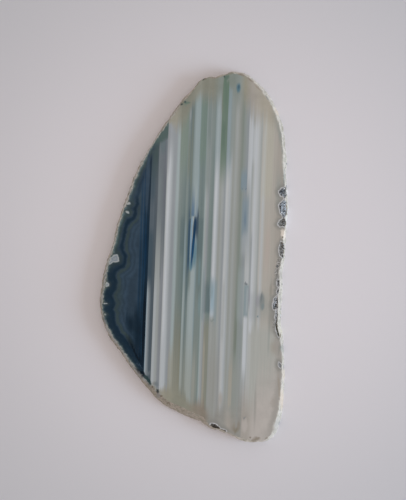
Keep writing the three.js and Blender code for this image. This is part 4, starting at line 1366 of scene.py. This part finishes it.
def dark_side(wiring, across, along, ragged, place, tones):
    """The dyed dark side: lines that follow the rim, and straight ones beside its edge."""
    wrap = wiring.attribute("wrap")
    wavy = wiring.shaken(wrap, wiring.noise(place, *WRAP_NOISE), WRAP_WAVER)
    colour = ramp_of(wiring, wavy, WRAP_TONES, tones)
    beside = wiring.times(wiring.spread(across, *BESIDE_EDGE), wiring.spread(wrap, *BESIDE_RIM))
    colour = wiring.blend(beside, colour, band_colours(wiring, across, DARK_BANDS, tones))
    low = wiring.times(wiring.spread(along, *LOW_END), wiring.spread(wavy, *LOW_INNER))
    low = wiring.times(low, wiring.spread(wavy, *LOW_OUTER), LOW_STRENGTH)
    colour = wiring.blend(low, colour, tones.navy_deep)
    colour = stained(wiring, colour, across, along, ragged, DARK_STAINS, tones)
    specks = wiring.spread(wiring.noise(place, *SPECK_NOISE), *SPECKS)
    specks = wiring.times(specks, wiring.spread(wrap, *SPECK_DEPTH))
    colour = wiring.blend(specks, colour, tones.spruce)
    cloud = wiring.shaken(1.0, wiring.noise(place, *DARK_CLOUD_NOISE), DARK_CLOUD)
    return wiring.dimmed(colour, cloud)


def new_material(name):
    """A material with a bare Principled shader, and the wiring to build on it."""
    material = bpy.data.materials.new(name)
    material.use_nodes = True
    wiring = Wiring(material.node_tree)
    shader = material.node_tree.nodes["Principled BSDF"]
    return material, wiring, shader


def pattern(wiring, place, tones):
    """The banding with its pale grains, for both faces."""
    banding = wiring.add("ShaderNodeGroup", node_tree=bpy.data.node_groups["Agate banding"])
    return pale_grains(wiring, banding.outputs["Color"], place, tones)


# In mm out from a pocket's wall: how far the darker stone, the pale line and the floor reach
HALO_REACH = (0.5, 2.6)
HALO_STRENGTH = 0.8
LINE_INNER = (-0.02, 0.14)
LINE_OUTER = (0.6, 0.38)
LINE_STRENGTH = 0.9
GROUND_EDGE = (0.08, -0.06)
WALL_WAVER = 0.8  # mm that all three waver


def pocket_rims(wiring, colour, gap, place, tones):
    """Pale lines round the pockets, darker stone beside them and a mottled floor inside."""
    wavy = wiring.shaken(gap, wiring.noise(place, *WALL_NOISE), WALL_WAVER)
    halo = wiring.spread(wavy, *HALO_REACH, HALO_STRENGTH, 0.0)
    colour = wiring.blend(halo, colour, tones.halo)
    line = wiring.times(wiring.spread(wavy, *LINE_INNER), wiring.spread(wavy, *LINE_OUTER))
    colour = wiring.blend(wiring.times(line, LINE_STRENGTH), colour, tones.pocket_line)
    ground = pocket_ground(wiring, place, tones)
    return wiring.blend(wiring.spread(wavy, *GROUND_EDGE), colour, ground)


# The dark specks on the pockets' floors: noise from and to, and their strength from and to
GROUND_SPECKS = (0.5, 0.6, 0.0, 0.75)


def pocket_ground(wiring, place, tones):
    """The colour of the pockets' floors, mottled."""
    ground = rim_spots(wiring, tones.pocket_ground, place, POCKET_SPOTS, tones)
    specks = wiring.spread(wiring.noise(place, *GROUND_NOISE), *GROUND_SPECKS)
    return wiring.blend(specks, ground, tones.pocket_speck, "MULTIPLY")


SPOT_RAGGED = 2.4  # how ragged the spots' edges are


def rim_spots(wiring, colour, place, spots, tones):
    """A colour near the rim with its listed spots."""
    x, y, _ = wiring.split_mm(place)
    ragged = wiring.times(wiring.minus(wiring.noise(place, *SPOT_NOISE), 0.5), SPOT_RAGGED)
    return stained(wiring, colour, x, y, ragged, spots, tones)


# Where the speckled crust lies and the clear stone below it, each side as the mm from where it
# starts to where it is full
CRUST_LOW = (-36.0, -33.0)
CRUST_HIGH = (6.0, 2.0)
CRUST_SIDE = (30.0, 31.0)
CRUST_DEPTH = (2.3, 1.3)
CRUST_RAGGED = 2.0
CRUST_STRENGTH = 0.8
CRUST_SPECKS = (0.47, 0.59)  # noise, from the dark crust to the light
LOWER_SIDE = (26.0, 32.0)
LOWER_HIGH = (-30.0, -36.0)
LOWER_DEPTH = (3.4, 1.2)
LOWER_STRENGTH = 0.85

# The thin pale edge, in mm: its width, how that and its tone change towards the left, and where
# it is missing at the foot
EDGE_WIDTH = 0.3
EDGE_WIDER = -0.1
EDGE_SOFTNESS = 0.14
EDGE_TEETH = 1.8
EDGE_LEFT = (24.0, -14.0)
EDGE_FOOT = (-54.0, -46.0)
EDGE_FOOT_SIDE = (27.0, 31.0)

# How strong it is: noise or mm from and to, then the strength from and to
EDGE_BREAKS = (0.36, 0.56, 0.1, 0.8)
EDGE_AT_TIP = (70.0, 60.0, 0.1, 1.0)


def crust(wiring, colour, place, tones):
    """The speckled crust along the pockets, and the thin pale edge all round."""
    x, y, _ = wiring.split_mm(place)
    rim = wiring.attribute("rim")
    fine = wiring.noise(place, *CRUST_NOISE)
    near = wiring.shaken(rim, fine, CRUST_RAGGED)
    zone = wiring.times(wiring.spread(y, *CRUST_LOW), wiring.spread(y, *CRUST_HIGH))
    zone = wiring.times(zone, wiring.spread(x, *CRUST_SIDE))
    zone = wiring.times(zone, wiring.spread(near, *CRUST_DEPTH), CRUST_STRENGTH)
    specks = wiring.spread(wiring.noise(place, *CRUST_SPECK_NOISE), *CRUST_SPECKS)
    colour = wiring.blend(zone, colour, wiring.blend(specks, tones.crust_dark, tones.crust_light))
    lower = wiring.times(wiring.spread(x, *LOWER_SIDE), wiring.spread(y, *LOWER_HIGH))
    lower = wiring.times(lower, wiring.spread(near, *LOWER_DEPTH), LOWER_STRENGTH)
    colour = wiring.blend(lower, colour, tones.crust_low)
    left = wiring.spread(x, *EDGE_LEFT)
    width = wiring.times_plus(left, EDGE_WIDER, EDGE_WIDTH)
    outer = wiring.plus(width, EDGE_SOFTNESS)
    inner = wiring.minus(width, EDGE_SOFTNESS)
    edge = wiring.spread(wiring.shaken(rim, fine, EDGE_TEETH), outer, inner)
    broken = wiring.spread(wiring.noise(place, *EDGE_NOISE), *EDGE_BREAKS)
    broken = wiring.times(broken, wiring.spread(y, *EDGE_AT_TIP))
    foot = wiring.math("MAXIMUM", wiring.spread(y, *EDGE_FOOT), wiring.spread(x, *EDGE_FOOT_SIDE))
    share = wiring.times(edge, wiring.times(broken, foot))
    return wiring.blend(share, colour, wiring.blend(left, tones.edge_right, tones.edge_left))


# In mm out from a grain's edge: where its dark ring, its body and its inner parts lie
GRAIN_WAVER = 0.4
RING_INNER = (0.0, 0.3)
RING_OUTER = (1.2, 0.6)
RING_STRENGTH = 0.6
GRAIN_EDGE = (0.1, -0.12)
GRAIN_INNER = (-0.3, -0.7)
GRAIN_HEART = (-0.9, -1.3)


def pale_grains(wiring, colour, place, tones):
    """The pale grains in the dark side, with a darker ring round each."""
    gap = wiring.shaken(wiring.attribute("grain_gap"), wiring.noise(place, *GRAIN_NOISE), GRAIN_WAVER)
    ring = wiring.times(wiring.spread(gap, *RING_INNER), wiring.spread(gap, *RING_OUTER))
    colour = wiring.blend(wiring.times(ring, RING_STRENGTH), colour, tones.grain_ring)
    grain = wiring.blend(wiring.spread(gap, *GRAIN_INNER), tones.grain, tones.grain_inner)
    grain = wiring.blend(wiring.spread(gap, *GRAIN_HEART), grain, tones.grain_heart)
    return wiring.blend(wiring.spread(gap, *GRAIN_EDGE), colour, grain)


QUARTZ_IOR = 1.54
PIT_ROUGHNESS = 0.55  # of the unpolished floors
PIT_START = (0.02, 0.2)  # mm of depth over which the polish is lost
SMEARS = (0.45, 0.75, 0.0, 0.05)  # faint smears in the polish: noise from and to, roughness
POLISH_RELIEF = (0.04, 0.001)  # the face's waves: how strong, and over how many metres


def polished_material(sizes, tones):
    """The polished face: the pattern under a clear, hard shine."""
    material, wiring, shader = new_material("polished_agate")
    place = wiring.place()
    colour = pattern(wiring, place, tones)
    colour = crust(wiring, colour, place, tones)
    colour = rim_spots(wiring, colour, place, RIM_SPOTS, tones)
    colour = pocket_rims(wiring, colour, wiring.attribute("wall_gap"), place, tones)
    rough = wiring.spread(wiring.attribute("hollow"), *PIT_START, sizes.polish, PIT_ROUGHNESS)
    smears = wiring.spread(wiring.noise(place, *SMEAR_NOISE), *SMEARS)
    wiring.fill(shader, {
        "Base Color": colour, "Roughness": wiring.plus(rough, smears), "IOR": QUARTZ_IOR,
        "Normal": wiring.bump(wiring.noise(place, *POLISH_NOISE), *POLISH_RELIEF),
    })
    return material


SAW_CENTRE = (0.26, 0.04, 0.0)  # metres: the middle of the saw's curved marks
SAW_NOISE = (3.1 / MM, 3.0, 0.7)  # marks a metre, detail and roughness
SAW_RELIEF = (0.25, 0.0001)  # how strong, and over how many metres
SAW_DUST = (0.4, 0.8, 0.04, 0.18)  # noise from and to, and how much dust that gives
SAW_ROUGHNESS = (0.3, 0.7, 0.34, 0.5)  # the same for the roughness


def sawn_material(tones):
    """The back: the same pattern, dulled by the saw, with its fine curved marks."""
    material, wiring, shader = new_material("sawn_agate")
    place = wiring.place()
    colour = pattern(wiring, place, tones)
    colour = pocket_rims(wiring, colour, wiring.attribute("back_gap"), place, tones)
    marks = wiring.line_noise(wiring.distance(place, SAW_CENTRE), *SAW_NOISE)
    wiring.fill(shader, {
        "Base Color": wiring.blend(wiring.spread(marks, *SAW_DUST), colour, tones.saw_dust),
        "Roughness": wiring.spread(marks, *SAW_ROUGHNESS), "IOR": QUARTZ_IOR,
        "Normal": wiring.bump(marks, *SAW_RELIEF),
    })
    return material


# The skin's tones change over these places, in mm
SKIN_RIGHT = (-5.0, 30.0)
SKIN_RAISED = (-25.0, 10.0)
DYED_SIDE = (0.0, -20.0)
DYED_LOW = (-57.0, -50.0)
SKIN_TOP = (3.4, 4.8)
SKIN_TOP_RAGGED = 5.0
SKIN_HOLLOW = (0.05, 0.3)
SKIN_ROUGHNESS = 0.78
SKIN_RELIEF = (0.5, 0.0003)  # how strong, and over how many metres

# What is laid over the skin: noise from and to, and the strength
DIRT_PATCHES, DIRT_STRENGTH = (0.44, 0.60), 0.85
SKIN_GRAINS, GRAIN_STRENGTH = (0.42, 0.64), 0.3
DYE_TRACES, DYE_STRENGTH = (0.5, 0.62), 0.65
SKIN_PITS, PIT_STRENGTH = (0.42, 0.35), 0.7
TOP_STRENGTH = 0.85


def rind_material(tones):
    """The natural skin: chalky cream and tan with dark pits and traces of dye."""
    material, wiring, shader = new_material("rind")
    place = wiring.place()
    x, y, z = wiring.split_mm(place)
    fine = wiring.noise(place, *SKIN_NOISE)
    right = wiring.spread(x, *SKIN_RIGHT)
    raised = wiring.spread(y, *SKIN_RAISED)
    skin = wiring.blend(raised, tones.skin_low, tones.skin_high)
    skin = wiring.blend(right, skin, tones.skin_right)
    dirt = wiring.blend(right, tones.dirt_left, tones.dirt_right)
    patches = wiring.spread(wiring.noise(place, *DIRT_NOISE), *DIRT_PATCHES)
    colour = wiring.blend(wiring.times(patches, DIRT_STRENGTH), skin, dirt)
    grain = wiring.spread(wiring.noise(place, *SKIN_GRAIN_NOISE), *SKIN_GRAINS)
    colour = wiring.blend(wiring.times(grain, GRAIN_STRENGTH), colour, tones.skin_grain)
    left = wiring.times(wiring.spread(x, *DYED_SIDE), wiring.spread(y, *DYED_LOW))
    height = wiring.shaken(z, fine, SKIN_TOP_RAGGED)
    upper = wiring.times(wiring.spread(height, *SKIN_TOP), left, TOP_STRENGTH)
    colour = wiring.blend(upper, colour, wiring.blend(raised, tones.top_low, tones.top_high))
    traces = wiring.spread(wiring.noise(place, *DYE_TRACE_NOISE), *DYE_TRACES)
    colour = wiring.blend(wiring.times(left, traces, DYE_STRENGTH), colour, tones.skin_dye)
    pits = wiring.spread(wiring.noise(place, *PIT_NOISE), *SKIN_PITS)
    colour = wiring.blend(wiring.times(pits, PIT_STRENGTH), colour, tones.skin_pit)
    colour = rim_spots(wiring, colour, place, RIM_SPOTS, tones)
    hollow = wiring.spread(wiring.attribute("hollow"), *SKIN_HOLLOW)
    wiring.fill(shader, {
        "Base Color": wiring.blend(hollow, colour, pocket_ground(wiring, place, tones)),
        "Roughness": SKIN_ROUGHNESS,
        "Normal": wiring.bump(wiring.noise(place, *RELIEF_NOISE), *SKIN_RELIEF),
    })
    return material


SPOTTED = 0.75  # how much of the pockets' spots the crystals take on
CRYSTAL_ROUGHNESS = 0.08
CRYSTAL_CLEARNESS = 0.35
CRYSTAL_SHADES = (0.4, 0.6)  # noise, from smoky crystals to clear ones


def crystal_material(tones):
    """Clear to smoky quartz, some of it tinted by the dye."""
    material, wiring, shader = new_material("quartz")
    place = wiring.place()
    shade = wiring.spread(wiring.noise(place, *CRYSTAL_NOISE), *CRYSTAL_SHADES)
    light = wiring.blend(shade, tones.quartz_smoky, tones.quartz_clear)
    deep = rim_spots(wiring, light, place, POCKET_SPOTS, tones)
    wiring.fill(shader, {
        "Base Color": wiring.blend(SPOTTED, light, deep), "Roughness": CRYSTAL_ROUGHNESS,
        "IOR": QUARTZ_IOR, "Transmission Weight": CRYSTAL_CLEARNESS,
    })
    return material


def add_object(name, mesh, materials):
    """An object at the origin that shows a mesh in these materials."""
    piece = bpy.data.objects.new(name, mesh)
    bpy.context.scene.collection.objects.link(piece)
    for material in materials:
        mesh.materials.append(material)
    return piece


SHARP_EDGE = 35  # degrees: faces that meet more sharply don't shade into each other


class AGATE_OT_cut_slice(bpy.types.Operator):
    """Makes the slice with its faces, rim and pockets, and gives them their materials"""

    bl_idname = "agate.cut_slice"
    bl_label = "Cut the Slice"

    def execute(self, context):
        sizes = context.scene.agate_sizes
        tones = context.scene.agate_tones
        points, faces, slots, rows = slice_surface(sizes)
        mesh = welded_mesh("polished_slice", points, faces, slots)
        sink_pockets(mesh, rows, sizes.thickness / MM)
        stain_group()
        patch_group()
        banding_group(tones)
        materials = [polished_material(sizes, tones), sawn_material(tones), rind_material(tones)]
        piece = add_object("polished_slice", mesh, materials)
        mesh.polygons.foreach_set("use_smooth", [True] * len(mesh.polygons))
        mesh.set_sharp_from_angle(angle=math.radians(SHARP_EDGE))
        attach(piece, "root")
        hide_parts(SLICE_NODE)
        return {"FINISHED"}


def tree_socket(tree, label, kind, default=None):
    """Adds a named input to a geometry tree and gives its identifier."""
    socket = tree.interface.new_socket(label, in_out="INPUT", socket_type=kind)
    if default is not None:
        socket.default_value = default
    return socket.identifier


CRYSTAL_INPUTS = {"Spacing": "Float", "Radius": "Float", "Length": "Float", "Seed": "Int"}
CRYSTAL_SIDES = 6
MOST_CRYSTALS = 3.0e7  # for a square metre, before the spacing thins them out
POINT_LENGTH = 1.5  # of a crystal's pointed end, in crystal radii
MOST_LEAN = (0.55, 0.55, 3.1)  # radians, each way
CRYSTAL_SCALES = (0.45, 1.5)  # the smallest and largest crystal, as shares of a middling one


def crystal_tree(crystals, material):
    """Geometry nodes that grow six-sided pointed crystals out of a surface."""
    tree = bpy.data.node_groups.new("Grow crystals", "GeometryNodeTree")
    tree_socket(tree, "Geometry", "NodeSocketGeometry")
    names = {
        label: tree_socket(tree, label, "NodeSocket" + kind, getattr(crystals, label.lower()))
        for label, kind in CRYSTAL_INPUTS.items()
    }
    tree.interface.new_socket("Geometry", in_out="OUTPUT", socket_type="NodeSocketGeometry")
    wiring = Wiring(tree)
    taken = wiring.add("NodeGroupInput").outputs
    given = wiring.add("NodeGroupOutput").inputs
    scatter = wiring.add(
        "GeometryNodeDistributePointsOnFaces",
        {"Mesh": taken["Geometry"], "Distance Min": taken["Spacing"], "Density Max": MOST_CRYSTALS,
         "Seed": taken["Seed"]},
        distribute_method="POISSON",
    )
    stem = wiring.add(
        "GeometryNodeMeshCylinder",
        {"Vertices": CRYSTAL_SIDES, "Radius": taken["Radius"], "Depth": taken["Length"]},
    )
    tip = wiring.add(
        "GeometryNodeMeshCone",
        {"Vertices": CRYSTAL_SIDES, "Radius Top": 0.0, "Radius Bottom": taken["Radius"],
         "Depth": wiring.times(taken["Radius"], POINT_LENGTH)},
    )
    lift = wiring.add("ShaderNodeCombineXYZ", {2: wiring.times(taken["Length"], 0.5)}).outputs[0]
    raised = wiring.add("GeometryNodeTransform", {"Geometry": tip.outputs["Mesh"], "Translation": lift})
    joined = wiring.add("GeometryNodeJoinGeometry")
    tree.links.new(stem.outputs["Mesh"], joined.inputs[0])
    tree.links.new(raised.outputs[0], joined.inputs[0])
    lean = wiring.add(
        "FunctionNodeRandomValue",
        {0: tuple(-most for most in MOST_LEAN), 1: MOST_LEAN, "Seed": taken["Seed"]},
        data_type="FLOAT_VECTOR",
    )
    euler = wiring.add("FunctionNodeEulerToRotation", {0: lean.outputs[0]})
    turn = wiring.add(
        "FunctionNodeRotateRotation", {0: scatter.outputs["Rotation"], 1: euler.outputs[0]},
        rotation_space="LOCAL",
    )
    growth = wiring.add(
        "FunctionNodeRandomValue",
        {2: CRYSTAL_SCALES[0], 3: CRYSTAL_SCALES[1], "Seed": taken["Seed"]}, data_type="FLOAT",
    )
    grown = wiring.add(
        "GeometryNodeInstanceOnPoints",
        {"Points": scatter.outputs["Points"], "Instance": joined.outputs[0],
         "Rotation": turn.outputs[0], "Scale": growth.outputs[1]},
    )
    real = wiring.add("GeometryNodeRealizeInstances", {"Geometry": grown.outputs[0]})
    dressed = wiring.add(
        "GeometryNodeSetMaterial", {"Geometry": real.outputs[0], "Material": material}
    )
    wiring.put(given["Geometry"], dressed.outputs[0])
    return tree, names


ROOTED_FROM = 0.35  # mm: crystals grow where a pocket is at least this deep


def deep_faces(source):
    """A copy of the slice's faces that lie deep in a pocket."""
    mesh = source.copy()
    depths = np.empty(len(mesh.vertices), dtype=np.float32)
    mesh.attributes["hollow"].data.foreach_get("value", depths)
    work = bmesh.new()
    work.from_mesh(mesh)
    shallow = [vert for vert, depth in zip(work.verts, depths) if depth < ROOTED_FROM]
    bmesh.ops.delete(work, geom=shallow, context="VERTS")
    work.to_mesh(mesh)
    work.free()
    return mesh


SAWN_OFF = 0.01 * MM  # how far below each face the crystals end


def trim_crystals(mesh, thickness):
    """Ends the crystals just below both faces, where the saw went through."""
    flat = np.empty(len(mesh.vertices) * 3)
    mesh.vertices.foreach_get("co", flat)
    flat[2::3] = np.clip(flat[2::3], SAWN_OFF, thickness - SAWN_OFF)
    mesh.vertices.foreach_set("co", flat)


class AGATE_OT_grow_crystals(bpy.types.Operator):
    """Grows quartz crystals on the walls and floors of the pockets"""

    bl_idname = "agate.grow_crystals"
    bl_label = "Grow Crystals"

    def execute(self, context):
        crystals = context.scene.agate_crystals
        floors = deep_faces(bpy.data.objects["polished_slice"].data)
        holder = add_object("pocket_floors", floors, [])
        material = crystal_material(context.scene.agate_tones)
        tree, names = crystal_tree(crystals, material)
        modifier = holder.modifiers.new("Crystals", "NODES")
        modifier.node_group = tree
        for label, identifier in names.items():
            modifier[identifier] = getattr(crystals, label.lower())
        grown = holder.evaluated_get(context.evaluated_depsgraph_get())
        mesh = bpy.data.meshes.new_from_object(grown)
        bpy.data.objects.remove(holder)
        trim_crystals(mesh, context.scene.agate_sizes.thickness)
        piece = add_object("pocket_crystals", mesh, [])
        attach(piece, "root")
        return {"FINISHED"}


PICTURE_HEIGHT = 500  # pixels of the photograph
MM_PER_PIXEL = 0.41  # mm of the slice in one of them
CAMERA_DISTANCE = 600.0  # mm
CAMERA_TILT = 6.0  # degrees from straight down, towards the foot of the slice
LOOKED_AT = (3.3, 1.36)  # the place on the polished face in the middle of the picture, mm
SENSOR = 36.0  # mm
VIEW_RANGE = (0.01, 20)  # metres


def add_camera(scene, thickness):
    """The camera, nearly overhead."""
    data = bpy.data.cameras.new("camera")
    data.sensor_width = SENSOR
    data.lens = SENSOR * (CAMERA_DISTANCE / MM_PER_PIXEL) / PICTURE_HEIGHT
    data.clip_start, data.clip_end = VIEW_RANGE
    camera = bpy.data.objects.new("camera", data)
    tilt = math.radians(CAMERA_TILT)
    away = Vector((0, -math.sin(tilt), math.cos(tilt))) * CAMERA_DISTANCE * MM
    camera.location = Vector((LOOKED_AT[0] * MM, LOOKED_AT[1] * MM, thickness)) + away
    camera.rotation_euler = (tilt, 0, 0)
    scene.collection.objects.link(camera)
    scene.camera = camera


WINDOW_PLACE = (1.11, -0.28, 0.45)  # metres
WINDOW_SIZE = 0.6
WINDOW_POWER = 7.5
WINDOW_COLOUR = (0.66, 0.82, 1.0)


def add_window(scene):
    """A cool, soft square light from the side, which the camera doesn't see."""
    data = bpy.data.lights.new("window", "AREA")
    data.shape = "RECTANGLE"
    data.size = data.size_y = WINDOW_SIZE
    data.energy = WINDOW_POWER
    data.color = WINDOW_COLOUR
    lamp = bpy.data.objects.new("window", data)
    lamp.location = WINDOW_PLACE
    lamp.rotation_euler = (-Vector(WINDOW_PLACE)).to_track_quat("-Z", "Y").to_euler()
    lamp.visible_camera = False
    scene.collection.objects.link(lamp)


# Painted light on the floor: its colour is painted lighter round the slice and painted darker, as
# shade, further out
FLOOR_PAINTED_LIGHT_MIDDLE = (0.010, 0.006, 0.0)  # metres: where the floor is lightest
FLOOR_PAINTED_FALLOFF = (0.03, 0.17)  # metres from there, where it starts to dim and is dimmest
FLOOR_PAINTED_LIT = (0.90, 0.87, 0.90)
FLOOR_PAINTED_SHADE = (0.652, 0.66, 0.69)
FLOOR_CLOUD = 0.03
FLOOR_ROUGHNESS = 0.7
FLOOR_SHINE = 0.2


def floor_material():
    """Smooth pale paint, a little uneven, with painted light: a painted pool of light round the slice
    that gives way to painted shade further out.
    """
    material, wiring, shader = new_material("pale_floor")
    place = wiring.place()
    cloud = wiring.noise(place, *FLOOR_NOISE)
    # painted light and shade: the floor's colour goes from the lit tone near its middle to the shaded
    # tone further out
    painted_dimming = wiring.spread(wiring.distance(place, FLOOR_PAINTED_LIGHT_MIDDLE), *FLOOR_PAINTED_FALLOFF)
    colour = wiring.blend(painted_dimming, FLOOR_PAINTED_LIT, FLOOR_PAINTED_SHADE)
    wiring.fill(shader, {
        "Base Color": wiring.dimmed(colour, wiring.shaken(1.0, cloud, FLOOR_CLOUD)),
        "Roughness": FLOOR_ROUGHNESS, "Specular IOR Level": FLOOR_SHINE,
    })
    return material


# The ceiling card in metres: its height, its left and right, its front and back, and where its
# bright part starts, so that the edge of that crosses the polished face
CARD_HEIGHT = 1.0
CARD_SIDES = (-0.16, 0.16)
CARD_ENDS = (-0.16, 0.32)
CARD_EDGE = 0.145
CARD_EDGE_FADE = 0.001

# How brightly that part glows from left to right, and the rest of the ceiling
CARD_GLOW = [
    (-0.11, 0.1), (-0.06, 0.15), (-0.045, 0.36), (-0.03, 0.7), (0.012, 0.7), (0.022, 0.56),
    (0.03, 0.34), (0.042, 0.22), (0.06, 0.14),
]
CEILING_GLOW = 0.08


def level_sheet(name, sides, ends, height, faces_up, material):
    """A flat level sheet of one face in one material."""
    corners = [(sides[i], ends[j], height) for i, j in ((0, 0), (1, 0), (1, 1), (0, 1))]
    mesh = bpy.data.meshes.new(name)
    mesh.from_pydata(corners, [], [(0, 1, 2, 3) if faces_up else (0, 3, 2, 1)])
    return add_object(name, mesh, [material])


def card_material():
    """A dim ceiling with a brighter part in it, which glows by itself."""
    material, wiring, shader = new_material("ceiling_card")
    split = wiring.add("ShaderNodeSeparateXYZ", {0: wiring.place()})
    glow = wiring.curve(split.outputs[0], CARD_GLOW, 1.0)
    bright = wiring.spread(split.outputs[1], CARD_EDGE - CARD_EDGE_FADE, CARD_EDGE + CARD_EDGE_FADE)
    extra = wiring.times(wiring.minus(glow, CEILING_GLOW), bright)
    wiring.fill(shader, {
        "Base Color": (0, 0, 0, 1), "Emission Strength": 1.0,
        "Emission Color": wiring.grey(wiring.plus(extra, CEILING_GLOW)),
    })
    return material


FLOOR_REACH = (-4.0, 4.0)  # metres
ROOM_LIGHT = (0.59, 0.54, 0.515, 1)


class AGATE_OT_set_stage(bpy.types.Operator):
    """Sets the pale floor, the ceiling card, the soft lights and the camera"""

    bl_idname = "agate.set_stage"
    bl_label = "Set the Stage"

    def execute(self, context):
        scene = context.scene
        floor = level_sheet("floor", FLOOR_REACH, FLOOR_REACH, 0, True, floor_material())
        add_camera(scene, scene.agate_sizes.thickness)
        add_window(scene)
        card = level_sheet("card", CARD_SIDES, CARD_ENDS, CARD_HEIGHT, False, card_material())
        world = bpy.data.worlds.new("room")
        world.use_nodes = True
        background = world.node_tree.nodes["Background"]
        background.inputs["Color"].default_value = ROOM_LIGHT
        background.inputs["Strength"].default_value = 1.0
        scene.world = world
        scene.view_settings.view_transform = "Standard"
        return {"FINISHED"}


class AGATE_PT_panel(bpy.types.Panel):
    """Lists the steps that make the slice"""

    bl_idname = "AGATE_PT_panel"
    bl_label = "Agate Slice"
    bl_space_type = "VIEW_3D"
    bl_region_type = "UI"
    bl_category = "Agate"

    def draw(self, context):
        scene = context.scene
        column = self.layout.column()
        for step in STEPS:
            column.operator(step.bl_idname)
        for group in (scene.agate_sizes, scene.agate_crystals, scene.agate_tones):
            box = column.box()
            for name in group.__annotations__:
                box.prop(group, name)


STEPS = (AGATE_OT_cut_slice, AGATE_OT_grow_crystals, AGATE_OT_set_stage)
CLASSES = (AgateTones, AgateSizes, AgateCrystals, *STEPS, AGATE_PT_panel)


def register():
    for item in CLASSES:
        bpy.utils.register_class(item)
    bpy.types.Scene.agate_tones = PointerProperty(type=AgateTones)
    bpy.types.Scene.agate_sizes = PointerProperty(type=AgateSizes)
    bpy.types.Scene.agate_crystals = PointerProperty(type=AgateCrystals)


def unregister():
    del bpy.types.Scene.agate_crystals
    del bpy.types.Scene.agate_sizes
    del bpy.types.Scene.agate_tones
    for item in reversed(CLASSES):
        bpy.utils.unregister_class(item)


def main():
    register()
    bpy.ops.agate.cut_slice()
    bpy.ops.agate.grow_crystals()
    bpy.ops.agate.set_stage()


if __name__ == "__main__":
    main()
